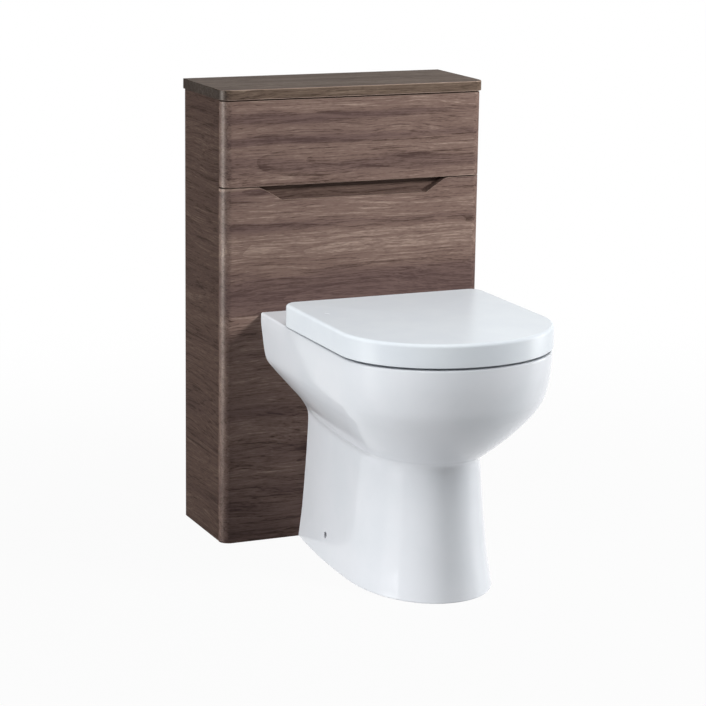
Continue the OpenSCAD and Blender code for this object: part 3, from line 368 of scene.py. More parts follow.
def seat_plan(inset, back, corner):
    """Straight back with rounded corners and an elliptical nose."""
    half_w, reach, nose = LID_HALF_W - inset, LID_REACH - inset, LID_NOSE - inset
    half = [((half_w - corner) * i / BACK_STEPS, -back) for i in range(BACK_STEPS)]
    for i in range(SIDE_STEPS):
        f = math.pi / 2 * i / (SIDE_STEPS - 1)
        half.append((half_w - corner + corner * math.sin(f),
                     -back - corner + corner * math.cos(f)))
    for f in nose_angles():
        half.append((half_w * math.cos(f), nose - reach - nose * math.sin(f)))
    return mirrored(half)


# Pan

# Height and inset of the rows that round the foot's lower edge
FOOT_EDGE = [(0.0, 2), (0.6, 0.6), (2.0, 0)]
# Height and spread of the foot, then height, spread at the back and spread of the belly
FOOT_FORM = [(0, 1), (14, 0.9), (55, 0.6), (105, 0.37), (155, 0.17), (200, 0.03)]
BELLY_FORM = [
    (WAIST_Z, 0, 0), (240, 0.04, 0.14), (258, 0.17, 0.33), (282, 0.40, 0.55), (313, 0.70, 0.785),
    (333, 0.87, 0.89), (350, 0.925, 0.94), (380, 0.97, 0.988), (402, 1, 1),
    (RIM_H - RIM_EDGE_R, 1, 1),
]
RIM_ROUND = [(RIM_H - RIM_EDGE_R * (1 - math.sin(f)), RIM_EDGE_R * (1 - math.cos(f)))
             for f in quarter_turn(15)]
RIM_PLAN = (BACK_RIM_W, RIM_HALF_W, RIM_REACH, RIM_NOSE)
BODY_STEPS = 6
# Rows of the smooth form that lie below the foot's edge
ROWS_BELOW_EDGE = 4

SKIRT_START = 10
DECK_UNDER_Z = RIM_H - DECK_T
# Inset and depth of the rows that round the skirt's corner under the deck
DECK_ROUND = [(0, 12), (1, 7), (4, 3), (12, 0)]

BOWL_HALF_W = RIM_HALF_W - 36
BOWL_BACK = 203
BOWL_FRONT = RIM_REACH - 32
BOWL_T = 11
BOWL_STEPS = 4
LIP_H = 36
OPENING_GROWTH = 6
SUMP_Y = -304
SUMP_Z = 110
# Depth below the rim and growth of the opening, down the lip and up its back
RIM_LIP = [
    (0, 5.0), (0.5, 3.1), (1.5, 1.5), (3, 0.4), (5, 0), (31.5, 0), (34, 0.7), (35.6, 2), (36, 3.2),
    (35.5, 4.6), (34, 5.6), (31.5, 6), (18.5, 6.6), (16, 7.4), (15, 9), (16, 10.8), (18.5, 12),
]
# Height and how far the sides, the back and the front draw in, from below the lip to the sump
BOWL_FORM = [
    (RIM_H - LIP_H, -12, -12, -12), (364, -4, 0, -4), (346, 8, 6, 10), (320, 23, 13, 30),
    (285, 48, 27, 62), (255, 71, 43, 91), (232, 88, 59, 114), (205, 102, 73, 134),
    (165, 110, 78, 146), (118, 116, 67, 156),
]
# Spread of the rings that round the bowl's floor, and their share of its drop
BOWL_FLOOR = [(0.94, 0.5), (0.82, 0.8), (0.6, 0.95), (0.3, 1.0)]
# How far the bowl's shell reaches into the deck
SHELL_LAP = 4

SPIGOT_R = SOIL_PIPE_R - 4
SPIGOT_END = 45
SPIGOT_WALL = 9
TRAP_Y = -SPIGOT_END - 50
TRAP_BEND = 45
TRAP_TURN = math.radians(60)
TRAP_LEG = 112
TRAP_TAIL = 20
TRAP_R = 33
TRAP_WALL = 7
TRAP_STEPS = 8
TRAP_SIDES = 40
MOUTH_EDGE_R = 1.5

INLET_REACH = 205
INLET_MOUTH = 20
INLET_INTO_BOWL = 20
INLET_SEAT_R = FLUSH_PIPE_R + 8.5
INLET_STEP = 5
INLET_SEAT_D = LID_BACK + 39
INLET_HORN_R = INLET_SEAT_R + 7

HINGE_HOLE_R = 7
HINGE_DRILL_PAST = 5
SIDE_HOLE_Y = -145
SIDE_HOLE_Z = 44
SIDE_FACE_X = 112.17
# Depth, radius and drilled length of the recess and of the screw hole in the pan's side
SIDE_BORES = [(5, 6, 30), (30, 3, 40)]


def foot_station(z, share):
    """Height and plan of the foot, from the waist at 0 to the floor at 1."""
    return (z, mix(BACK_WAIST_W, BACK_FOOT_W, share), mix(WAIST_HALF_W, FOOT_HALF_W, share),
            mix(WAIST_REACH, FOOT_REACH, share), mix(WAIST_NOSE, FOOT_NOSE, share))


def belly_station(z, back, share):
    """Height and plan of the belly, from the waist at 0 to the rim at 1."""
    return (z, mix(BACK_WAIST_W, BACK_RIM_W, back), mix(WAIST_HALF_W, RIM_HALF_W, share),
            mix(WAIST_REACH, RIM_REACH, share), mix(WAIST_NOSE, RIM_NOSE, share))


BOWL_WALL = smooth_rows(
    [(z, BOWL_HALF_W - sides, BOWL_BACK + back, BOWL_FRONT - front)
     for z, sides, back, front in BOWL_FORM], BOWL_STEPS)


def trap_path(leg):
    """Centre line of the water way as distance, height and slope."""
    drop = TRAP_BEND * (1 - math.cos(TRAP_TURN))
    weir_y = TRAP_Y - 2 * TRAP_BEND * math.sin(TRAP_TURN)
    run = weir_y - TRAP_BEND * math.sin(TRAP_TURN)
    path = [(run - leg * math.cos(TRAP_TURN), OUTLET_Z + drop - leg * math.sin(TRAP_TURN),
             TRAP_TURN)]
    for k in range(2 * TRAP_STEPS + 1):
        f = TRAP_TURN * (1 - k / TRAP_STEPS)
        path.append((weir_y - TRAP_BEND * math.sin(f),
                     OUTLET_Z + 2 * drop - TRAP_BEND * (1 - math.cos(f)), f))
    for k in range(1, TRAP_STEPS + 1):
        f = TRAP_TURN * (k / TRAP_STEPS - 1)
        path.append((TRAP_Y + TRAP_BEND * math.sin(f),
                     OUTLET_Z + TRAP_BEND * (1 - math.cos(f)), f))
    return path + [(TRAP_Y + TRAP_TAIL, OUTLET_Z, 0)]


def trap(radius, leg):
    """The bent pipe from the sump over the weir to the outlet."""
    bm = bmesh.new()
    turns = [2 * math.pi * i / TRAP_SIDES for i in range(TRAP_SIDES)]
    loft(bm, [
        [spot(radius * math.cos(t), y - radius * math.sin(t) * math.sin(slope),
              z + radius * math.sin(t) * math.cos(slope)) for t in turns]
        for y, z, slope in trap_path(leg)
    ])
    return cutter(bm)


def bowl_body(rows, low_z):
    """The bowl as a closed body, from its top down to a rounded floor."""
    rings = [at_height(bowl_plan(*row[1:]), row[0]) for row in rows]
    middle, last_z = spot(0, SUMP_Y, low_z), rows[-1][0]
    edge = rings[-1]
    for share, depth in BOWL_FLOOR:
        z = mix(last_z, low_z, depth) * MM
        rings.append([Vector((mix(middle.x, p.x, share), mix(middle.y, p.y, share), z))
                      for p in edge])
    bm = bmesh.new()
    loft(bm, rings)
    return cutter(bm)


def skirt_space(stations):
    """The space inside the skirt, open at the foot and at the back."""
    corner_z = DECK_UNDER_Z - DECK_ROUND[0][1]
    rows = [(foot_station(-PAST, 1), CERAMIC_T)]
    rows += [(s, CERAMIC_T) for s in stations if SKIRT_START < s[0] < corner_z]
    rows += [((DECK_UNDER_Z - depth, *RIM_PLAN), CERAMIC_T + inset) for inset, depth in DECK_ROUND]
    bm = bmesh.new()
    loft(bm, [at_height(pan_plan(*s[1:], inset=inset, back_inset=-PAST), s[0])
              for s, inset in rows])
    return cutter(bm)


def make_pan(material):
    """The glazed pan: a skirt round the bowl, the trap and the horn of the flush inlet."""
    stations = smooth_rows([foot_station(*row) for row in FOOT_FORM]
                           + [belly_station(*row) for row in BELLY_FORM], BODY_STEPS)
    foot = foot_station(0, 1)[1:]
    rings = [at_height(pan_plan(*foot, inset=inset), z) for z, inset in FOOT_EDGE]
    rings += [at_height(pan_plan(*s[1:]), s[0]) for s in stations[ROWS_BELOW_EDGE:]]
    rings += [at_height(pan_plan(*RIM_PLAN, inset=inset), z) for z, inset in RIM_ROUND]
    bm = bmesh.new()
    loft(bm, rings)
    bm = carved(bm, [skirt_space(stations)])
    back = (0, 1, 0)
    shell = [(z, half_w + BOWL_T, behind - BOWL_T, front + BOWL_T)
             for z, half_w, behind, front in BOWL_WALL]
    bm = carved(bm, [
        bowl_body([(DECK_UNDER_Z + SHELL_LAP, *shell[0][1:]), *shell], SUMP_Z - BOWL_T),
        trap(TRAP_R + TRAP_WALL, TRAP_LEG + TRAP_WALL),
        bar((0, TRAP_Y, OUTLET_Z), back, SPIGOT_R, -SPIGOT_END - TRAP_Y, MOUTH_EDGE_R),
        bar((0, -INLET_REACH, INLET_Z), back, INLET_HORN_R, INLET_REACH - INLET_MOUTH,
            MOUTH_EDGE_R),
    ], "UNION")
    opening = [(RIM_H - depth, BOWL_HALF_W + grow, BOWL_BACK - grow, BOWL_FRONT + grow)
               for depth, grow in RIM_LIP]
    above = (RIM_H + PAST, BOWL_HALF_W + OPENING_GROWTH, BOWL_BACK - OPENING_GROWTH,
             BOWL_FRONT + OPENING_GROWTH)
    seat_start = INLET_SEAT_D + INLET_STEP
    tools = [
        bowl_body([above, *opening, *BOWL_WALL], SUMP_Z),
        trap(TRAP_R, TRAP_LEG),
        bar((0, TRAP_Y + SPIGOT_WALL, OUTLET_Z), back, SPIGOT_R - SPIGOT_WALL,
            -SPIGOT_END - TRAP_Y),
        bar((0, -seat_start, INLET_Z), back, INLET_SEAT_R, seat_start + PAST - INLET_MOUTH),
        bar((0, -INLET_REACH - INLET_INTO_BOWL, INLET_Z), back, INLET_SEAT_R - INLET_STEP,
            INLET_REACH - INLET_MOUTH),
    ]
    for s in (-1, 1):
        tools.append(bar((s * HINGE_X, HINGE_Y, DECK_UNDER_Z - HINGE_DRILL_PAST), (0, 0, 1),
                         HINGE_HOLE_R, DECK_T + 2 * HINGE_DRILL_PAST))
        for depth, radius, length in SIDE_BORES:
            tools.append(bar((s * (SIDE_FACE_X - depth), SIDE_HOLE_Y, SIDE_HOLE_Z), (s, 0, 0),
                             radius, length))
    return finished("pan_body", carved(bm, tools), material, "cabinet", ["pan"])


# Seat and lid

LID_Z = RIM_H + LID_GAP
LID_TOP_Z = LID_Z + LID_H
LID_CEILING_Z = LID_TOP_Z - LID_WALL
LID_CEILING_R = 5
LID_DRAFT = 0.3
LID_INNER_INSET = LID_WALL + 60
LEAST_CORNER_R = 4
# Inset and height of the lid's section, from under its ceiling round the wall to its top
LID_SECTION = [
    (LID_INNER_INSET, LID_CEILING_Z), (LID_WALL + LID_CEILING_R, LID_CEILING_Z),
    *[(LID_WALL + LID_CEILING_R * (1 - math.sin(f)),
       LID_CEILING_Z - LID_CEILING_R * (1 - math.cos(f))) for f in quarter_turn(30)],
    (LID_WALL - LID_DRAFT, LID_Z + 1), (LID_WALL - 1.2, LID_Z), (1.1, LID_Z), (0.3, LID_Z + 0.6),
    (0, LID_Z + 2), (0.1, LID_Z + 15), (LID_DRAFT, LID_TOP_Z - LID_EDGE_R),
    *[(LID_DRAFT + LID_EDGE_R * (1 - math.cos(f)), LID_TOP_Z - LID_EDGE_R * (1 - math.sin(f)))
      for f in quarter_turn(10)[:-1]], (LID_DRAFT + LID_EDGE_R, LID_TOP_Z),
]
# Shares of the outline at which the rings of the crown lie, about a middle near the nose
CROWN_RINGS = [0.93, 0.84, 0.72, 0.58, 0.42, 0.26, 0.1]
CROWN_MIDDLE_Y = -LID_REACH * 0.6
CROWN_POWER = 1.5

NOTCH_LOW = (HINGE_X - 19, -LID_BACK - LID_WALL - 2, LID_Z - 8)
NOTCH_HIGH = (HINGE_X + POST_W / 2 + LUG_W + 2, -LID_BACK + 2, HINGE_Z + 12)
NOTCH_R = 4

RING_Z = LID_Z + 2
RING_TOP_Z = LID_CEILING_Z - 6.5
RING_INSET = LID_WALL + 2.5
RING_BACK = LID_BACK + 37
RING_CORNER_R = 20
RING_HOLE_HALF_W = 112
RING_HOLE_BACK = 226
RING_HOLE_FRONT = LID_REACH - 53
RING_STEPS = 2
# Insets and heights of the ring's outer wall, and growth and heights of its inner wall
RING_OUTSIDE = [
    (1.5, RING_Z), (0.3, RING_Z + 0.8), (0, RING_Z + 2.5), (0, RING_TOP_Z - 8),
    (0.8, RING_TOP_Z - 4.6), (3, RING_TOP_Z - 2.3), (7, RING_TOP_Z - 0.7), (14, RING_TOP_Z),
]
RING_INSIDE = [
    (26, RING_TOP_Z), (16, RING_TOP_Z - 0.7), (8, RING_TOP_Z - 2.4), (2.5, RING_TOP_Z - 5),
    (0, RING_TOP_Z - 9), (0.6, RING_Z + 5), (2, RING_Z + 1.5), (5, RING_Z),
]

LUG_EDGE_R = 0.8
LID_LUG_X = HINGE_X - POST_W / 2 - FACE_GAP - LUG_W
RING_LUG_X = HINGE_X + POST_W / 2 + FACE_GAP
# Low and high, front and back of the webs that join the knuckles to lid and ring
LID_WEB = (HINGE_Z, LID_CEILING_Z + 1, HINGE_Y - 8, HINGE_Y + 7)
RING_WEB = (HINGE_Z - 9, HINGE_Z + 5, -RING_BACK - 12, HINGE_Y)

PAD_LAP = 0.5
PAD_EDGE_R = 1.0
PAD_SIDES = 32
RING_PADS = [(163.5, -250), (95, -481.6)]
RING_PAD_R = 6.5
LID_PADS = [(145, -250), (95, -474)]
LID_PAD_R = 6


def lid_plan(inset):
    return seat_plan(inset, LID_BACK + inset, max(LID_CORNER_R - inset, LEAST_CORNER_R))


def lugs(bm, x, web):
    """A hinge knuckle on each side, with the web that joins it to lid or ring."""
    low_z, high_z, front_y, back_y = web
    for start in (x, -x - LUG_W):
        rod(bm, (start, HINGE_Y, HINGE_Z), (1, 0, 0), KNUCKLE_R, LUG_W, LUG_EDGE_R)
        made = block(bm, (start, front_y, low_z), (start + LUG_W, back_y, high_z))
        round_edges(bm, edges_of(made), LUG_EDGE_R, 2)


def hinge_notch(side):
    """The room in the lid's back edge for one hinge."""
    bm = bmesh.new()
    low_x, high_x = sorted((side * NOTCH_LOW[0], side * NOTCH_HIGH[0]))
    made = block(bm, (low_x, *NOTCH_LOW[1:]), (high_x, *NOTCH_HIGH[1:]))
    round_edges(bm, edges_of(made), NOTCH_R, 4)
    return cutter(bm)


def make_lid(material):
    """The wrap-over lid: a thin shell with a crowned top and notches for the hinges."""
    rings = [at_height(lid_plan(inset), z) for inset, z in LID_SECTION]
    edge = rings[-1]
    centre = spot(0, CROWN_MIDDLE_Y, LID_TOP_Z)
    for share in CROWN_RINGS:
        rise = Vector((0, 0, LID_CROWN * MM * (1 - share ** 2) ** CROWN_POWER))
        rings.append([centre + (p - centre) * share + rise for p in edge])
    bm = bmesh.new()
    loft(bm, rings)
    bm = carved(bm, [hinge_notch(-1), hinge_notch(1)])
    lugs(bm, LID_LUG_X, LID_WEB)
    return finished("lid_shell", bm, material, "seat_lid", ["seat_lid"])


def ring_edge(inset):
    return seat_plan(RING_INSET + inset, RING_BACK + inset,
                     max(RING_CORNER_R - inset, LEAST_CORNER_R))


def ring_hole(grow):
    return bowl_plan(RING_HOLE_HALF_W + grow, RING_HOLE_BACK - grow, RING_HOLE_FRONT + grow)


def make_ring(material):
    """The seat ring, its outer and inner walls joined at the top and underneath."""
    bm = bmesh.new()
    rings = [at_height(ring_edge(inset), z) for inset, z in smooth_rows(RING_OUTSIDE, RING_STEPS)]
    rings += [at_height(ring_hole(grow), z) for grow, z in smooth_rows(RING_INSIDE, RING_STEPS)]
    first, last = loft(bm, rings, capped=False)
    bmesh.ops.bridge_loops(bm, edges=ring_edges(bm, first) + ring_edges(bm, last))
    lugs(bm, RING_LUG_X, RING_WEB)
    return finished("seat_ring_body", bm, material, "seat_ring", ["seat_ring"])


def make_pads(name, node, body, places, radius, low_z, high_z, material):
    """Round pads in pairs, with rounded ends."""
    bm = bmesh.new()
    for x, y in places:
        for s in (-1, 1):
            rod(bm, (s * x, y, low_z), (0, 0, 1), radius, high_z - low_z, PAD_EDGE_R, PAD_SIDES)
    return finished(name, bm, material, body, [node])


def make_bumpers(material):
    """The pads that the ring and the lid rest on."""
    return [
        make_pads("ring_pads", "ring_bumpers", "seat_ring", RING_PADS, RING_PAD_R,
                  RIM_H + FACE_GAP, RING_Z + PAD_LAP, material),
        make_pads("lid_pads", "lid_bumpers", "seat_lid", LID_PADS, LID_PAD_R,
                  RING_TOP_Z + FACE_GAP, LID_CEILING_Z + PAD_LAP, material),
    ]


# Cabinet

CORNER_STEPS = 12
SOIL_HOLE_R = SOIL_PIPE_R + 7
FLUSH_HOLE_R = FLUSH_PIPE_R + 8
# How near a corner lies to its place on the outline, in metres
NEAR = 0.001
EXACT = 1e-6


def make_board(name, node, body, low, high, material, edge, edge_highlight_material=None, front_r=0.0):
    """A cut board with eased edges, and rounded front corners if it has any."""
    bm = bmesh.new()
    block(bm, low, high)
    if front_r:
        middle = spot(0, (low[1] + high[1]) / 2, 0).y
        front = [e for e in bm.edges if upright(e) and e.verts[0].co.y < middle]
        round_edges(bm, front, front_r, CORNER_STEPS)
    if edge_highlight_material:
        ease_board(bm, edge)
    else:
        round_edges(bm, crisp_edges(bm), edge, 2)
    return finished(name, bm, material, body, [node], edge_highlight_material)


def make_lower_front(material, edge_highlight_material):
    """The lower front: its outline with the finger pull, drawn back to its thickness."""
    bm = bmesh.new()
    recess_z = LOWER_FRONT_H - RECESS_H
    half = [(CABINET_W / 2, 0), (CABINET_W / 2, LOWER_FRONT_H),
            (RECESS_TOP_W / 2, LOWER_FRONT_H), (RECESS_BOTTOM_W / 2, recess_z)]
    outline = half + [(-x, z) for x, z in reversed(half)]
    face = bm.faces.new([bm.verts.new(spot(x, 0, z)) for x, z in outline])
    grown = bmesh.ops.extrude_face_region(bm, geom=[face])["geom"]
    moved = [v for v in grown if isinstance(v, bmesh.types.BMVert)]
    bmesh.ops.translate(bm, verts=moved, vec=(0, FRONT_T * MM, 0))
    bmesh.ops.recalc_face_normals(bm, faces=bm.faces)

    def through(x, z):
        """Edges that run through the board at a place on the outline."""
        return [e for e in bm.edges if all(
            math.isclose(abs(v.co.x), x * MM, abs_tol=EXACT)
            and math.isclose(v.co.z, z * MM, abs_tol=EXACT) for v in e.verts)]

    front = [e for e in bm.edges if upright(e) and e.verts[0].co.y < FACE_Y + NEAR
             and abs(e.verts[0].co.x) > CABINET_W / 2 * MM - NEAR]
    round_edges(bm, front, FRONT_EDGE_R, CORNER_STEPS)
    round_edges(bm, through(RECESS_TOP_W / 2, LOWER_FRONT_H), RECESS_TOP_CUT, 8)
    round_edges(bm, through(RECESS_BOTTOM_W / 2, recess_z), RECESS_BOTTOM_CUT, 4)
    ease_board(bm, EASED_EDGE)
    bm = carved(bm, [bar((0, -PAST, z), (0, 1, 0), radius, FRONT_T + 2 * PAST)
                     for z, radius in ((OUTLET_Z, SOIL_HOLE_R), (INLET_Z, FLUSH_HOLE_R))])
    return finished("lower_front_board", bm, material, "cabinet", ["front_lower_panel"],
                    edge_highlight_material)


def heights(low, high):
    return low.z / MM, high.z / MM


def make_side(name, node, low_x, high_x, material):
    bottom, top = heights(side_low, side_high)
    return make_board(name, node, "cabinet", (low_x, FRONT_T, bottom), (high_x, CABINET_D, top),
                      material, SIDE_EDGE)


def make_cabinet(materials):
    """Side panels, fronts and worktop; the boards that the edge lights reach are handed back."""
    half = CABINET_W / 2
    wide = half + WORKTOP_OVERHANG
    board_t = (side_high.x - side_low.x) / MM
    # The edge material is a lighter walnut, a painted highlight on the eased arrises
    side_wood, edges = materials["walnut_side"], materials["walnut_edge_highlight"]
    make_side("right_side_board", "side_panel_right", half - board_t, half, side_wood)
    left = make_side("left_side_board", "side_panel_left", -half, board_t - half, side_wood)
    lower = make_lower_front(materials["walnut_lower"], edges)
    bottom, top = heights(upper_low, upper_high)
    back = (upper_high.y - FACE_Y) / MM
    upper = make_board("upper_front_board", "front_upper_panel", "upper_front",
                       (-half, 0, bottom), (half, back, top - SHADOW_GAP),
                       materials["walnut_upper"], UPPER_EDGE, edges, FRONT_EDGE_R)
    # The worktop's walnut is darker as painted shade on its top
    bottom, top = heights(worktop_low, worktop_high)
    cover = make_board("worktop_board", "worktop", "worktop",
                       (-wide, -WORKTOP_OVERHANG, bottom), (wide, CABINET_D, top),
                       materials["walnut_top_painted_shade"], WORKTOP_EDGE, edges,
                       FRONT_EDGE_R + WORKTOP_OVERHANG)
    return [lower, upper], cover, left


# Shader groups

def group(name, inputs, outputs):
    """An empty shader group with its named sockets, and its two end nodes."""
    tree = bpy.data.node_groups.new(name, "ShaderNodeTree")
    for label, kind, value in inputs:
        socket = tree.interface.new_socket(name=label, in_out="INPUT", socket_type=kind)
        if value is not None:
            socket.default_value = value
    for label, kind in outputs:
        tree.interface.new_socket(name=label, in_out="OUTPUT", socket_type=kind)
    return tree, tree.nodes.new("NodeGroupInput"), tree.nodes.new("NodeGroupOutput")


def add(tree, kind, **settings):
    """A node with its settings and the values of its sockets by name or number."""
    node = tree.nodes.new(kind)
    values = settings.pop("values", {})
    for key, value in settings.items():
        setattr(node, key, value)
    for key, value in values.items():
        if isinstance(value, bpy.types.NodeSocket):
            tree.links.new(value, node.inputs[key])
        else:
            node.inputs[key].default_value = value
    return node


def math_node(tree, operation, a, b, clamp=False):
    return add(tree, "ShaderNodeMath", operation=operation, use_clamp=clamp,
               values={0: a, 1: b}).outputs[0]


def swing(tree, value, weight):
    """A noise value as a signed tone around zero."""
    return math_node(tree, "MULTIPLY", math_node(tree, "SUBTRACT", value, 0.5), weight)


def vector_math(tree, operation, a, b):
    return add(tree, "ShaderNodeVectorMath", operation=operation, values={0: a, 1: b}).outputs[0]


def noise(tree, vector, scale, detail, roughness):
    return add(tree, "ShaderNodeTexNoise", values={
        "Vector": vector, "Scale": scale, "Detail": detail, "Roughness": roughness}).outputs["Fac"]


def spread(tree, value, low, high, to_low=0.0, to_high=1.0):
    """A value between low and high as a smooth share between two others."""
    return add(tree, "ShaderNodeMapRange", clamp=True, interpolation_type="SMOOTHSTEP", values={
        "Value": value, "From Min": low, "From Max": high, "To Min": to_low,
        "To Max": to_high}).outputs[0]


def blended(tree, share, a, b):
    """Two colours mixed by a share."""
    node = add(tree, "ShaderNodeMix", data_type="RGBA")
    for key, value in (("Factor", share), ("A", a), ("B", b)):
        socket = next(s for s in node.inputs if s.name == key and s.enabled)
        if isinstance(value, bpy.types.NodeSocket):
            tree.links.new(value, socket)
        else:
            socket.default_value = value
    return next(s for s in node.outputs if s.enabled)


def srgb(red, green, blue):
    """A colour as it shows on screen, from 0 to 255, in linear light."""
    def linear(c):
        c /= 255
        return c / 12.92 if c <= 0.04045 else ((c + 0.055) / 1.055) ** 2.4
    return (linear(red), linear(green), linear(blue), 1.0)


VECTOR, FLOAT, COLOUR = "NodeSocketVector", "NodeSocketFloat", "NodeSocketColor"
SURFACE = [("Color", COLOUR), ("Height", FLOAT), ("Roughness", FLOAT)]

# Sway of the grain and streaks in it: length, width and strength of each
SWAY = [(230, 120, 0.034), (60, 18, 0.0035)]
STREAKS = [(420, 10.0, 0.42), (260, 4.6, 0.5), (150, 2.6, 0.6), (70, 1.8, 0.7), (9, 1.6, 0.4)]
# Length and width of the other parts of the figure
BAND_SIZE = (600, 44)
FIBRE_SIZE = (26, 1.7)
GROWTH_SIZE = (900, 60)
PORE_SIZE = (17, 1.3)
BAND_WEIGHT = 0.5
GIVEN_BAND_WEIGHT = 0.8
BASE_TONE = 0.52
FIBRE_WEIGHT = 0.6
GROWTH_LINES = 11.0
LATE_WOOD_POWER = 3.0
LATE_WOOD_WEIGHT = 0.2
# Tones at which the wood has its middle and its light colour
MIDDLE_TONE = 0.5
LIGHT_TONE = 1.05
# Bands that turn mauve, noise that makes a pore, and the largest share of either
MAUVE_RANGE = (0.02, -0.22)
MAUVE_SHARE = 0.55
PORE_RANGE = (0.58, 0.72)
PORE_SHARE = 0.4
# Tones between which the foil gets smoother, and its roughness at both
SHEEN_RANGE = (0.1, 0.9)
WOOD_ROUGHNESS = (0.5, 0.42)
# Noise between which a mottled finish turns to its patch colour
PATCH_RANGE = (0.35, 0.68)


def wood_grain_group():
    """Walnut figure with its grain along X: bands, growth lines, streaks, fibres and pores."""
    tree, start, end = group("wood_grain", [
        ("Vector", VECTOR, None), ("Band", FLOAT, 0.5), ("Dark", COLOUR, srgb(70, 55, 49)),
        ("Middle", COLOUR, srgb(118, 98, 90)), ("Light", COLOUR, srgb(156, 136, 124)),
        ("Mauve", COLOUR, srgb(93, 75, 74)),
    ], SURFACE)
    place = start.outputs["Vector"]
    dark, middle, light, mauve = (start.outputs[k] for k in ("Dark", "Middle", "Light", "Mauve"))

    def figure(vector, length, width, detail=2.0, roughness=0.55):
        """Noise drawn out along the grain, its length and width in millimetres."""
        stretch = (1000 / length, 1000 / width, 1000 / width)
        stretched = vector_math(tree, "MULTIPLY", vector, stretch)
        return noise(tree, stretched, 1.0, detail, roughness)

    sway = math_node(tree, "ADD", *[swing(tree, figure(place, length, width, 1.0, 0.4), reach)
                                    for length, width, reach in SWAY])
    shift = add(tree, "ShaderNodeCombineXYZ", values={"X": 0.0, "Y": sway, "Z": sway})
    bent = vector_math(tree, "ADD", place, shift.outputs[0])
    band = math_node(tree, "ADD", swing(tree, figure(bent, *BAND_SIZE), BAND_WEIGHT),
                     swing(tree, start.outputs["Band"], GIVEN_BAND_WEIGHT))
    fibres = figure(bent, *FIBRE_SIZE)
    tone = math_node(tree, "ADD", band, BASE_TONE)
    for length, width, weight in STREAKS:
        streak = swing(tree, figure(bent, length, width, 1.0), weight)
        tone = math_node(tree, "ADD", tone, streak)
    tone = math_node(tree, "ADD", tone, swing(tree, fibres, FIBRE_WEIGHT))
    rings = math_node(tree, "MULTIPLY", figure(bent, *GROWTH_SIZE, 1.0, 0.4), GROWTH_LINES)
    late_wood = math_node(tree, "POWER", math_node(tree, "FRACT", rings, 0.0), LATE_WOOD_POWER)
    tone = math_node(tree, "SUBTRACT", tone,
                     math_node(tree, "MULTIPLY", late_wood, LATE_WOOD_WEIGHT))
    colour = blended(tree, spread(tree, tone, 0.0, MIDDLE_TONE), dark, middle)
    colour = blended(tree, spread(tree, tone, MIDDLE_TONE, LIGHT_TONE), colour, light)
    colour = blended(tree, spread(tree, band, *MAUVE_RANGE, 0.0, MAUVE_SHARE), colour, mauve)
    pores = spread(tree, figure(bent, *PORE_SIZE, 1.0, 0.5), *PORE_RANGE, 0.0, PORE_SHARE)
    colour = blended(tree, pores, colour, dark)
    height = math_node(tree, "SUBTRACT", math_node(tree, "MULTIPLY", fibres, FIBRE_WEIGHT), pores)
    tree.links.new(colour, end.inputs["Color"])
    tree.links.new(height, end.inputs["Height"])
    tree.links.new(spread(tree, tone, *SHEEN_RANGE, *WOOD_ROUGHNESS), end.inputs["Roughness"])
    return tree


def mottle_group():
    """Soft patches between two colours, with a fine height for the bump."""
    tree, start, end = group("soft_mottle", [
        ("Vector", VECTOR, None), ("Scale", FLOAT, 20.0), ("Fine Scale", FLOAT, 900.0),
        ("Colour", COLOUR, (0.8, 0.8, 0.8, 1)), ("Patch Colour", COLOUR, (0.7, 0.7, 0.7, 1)),
        ("Roughness", FLOAT, 0.3), ("Roughness Spread", FLOAT, 0.1),
    ], SURFACE)
    given = start.outputs
    patch = noise(tree, given["Vector"], given["Scale"], 4.0, 0.55)
    fine = noise(tree, given["Vector"], given["Fine Scale"], 2.0, 0.5)
    share = spread(tree, patch, *PATCH_RANGE)
    colour = blended(tree, share, given["Colour"], given["Patch Colour"])
    change = swing(tree, patch, given["Roughness Spread"])
    roughness = math_node(tree, "ADD", given["Roughness"], change, clamp=True)
    tree.links.new(colour, end.inputs["Color"])
    tree.links.new(fine, end.inputs["Height"])
    tree.links.new(roughness, end.inputs["Roughness"])
    return tree


# Materials

# Bands of the fronts, dark below 0.5 and light above, by height on the unit
UPPER_BANDS = [
    (645, 0.56), (662, 0.6), (676, 0.42), (690, 0.54), (705, 0.6), (722, 0.38), (738, 0.5),
    (752, 0.52), (765, 0.36), (780, 0.56), (797, 0.48),
]
# The lower front's bands below about 300 mm are set darker: painted shade of the pan's shadow, on
# top of the grain's bands
LOWER_BANDS_AND_SHADE = [
    (0, 0.4), (40, 0.51), (75, 0.38), (120, 0.5), (160, 0.4), (205, 0.52), (250, 0.42), (300, 0.51),
    (345, 0.44), (375, 0.5), (402, 0.56), (430, 0.3), (455, 0.27), (482, 0.3), (502, 0.52),
    (525, 0.66), (550, 0.72), (575, 0.42), (600, 0.57), (622, 0.52), (643, 0.38),
]
# Waver of the bands along the front: its frequency per metre and its reach in metres
BAND_WAVER = (4.0, 6.0, 9.0)
BAND_WAVER_REACH = 0.05
WOOD_SPECULAR = 0.015
PORE_STRENGTH = 0.3
PORE_DEPTH = 0.0002

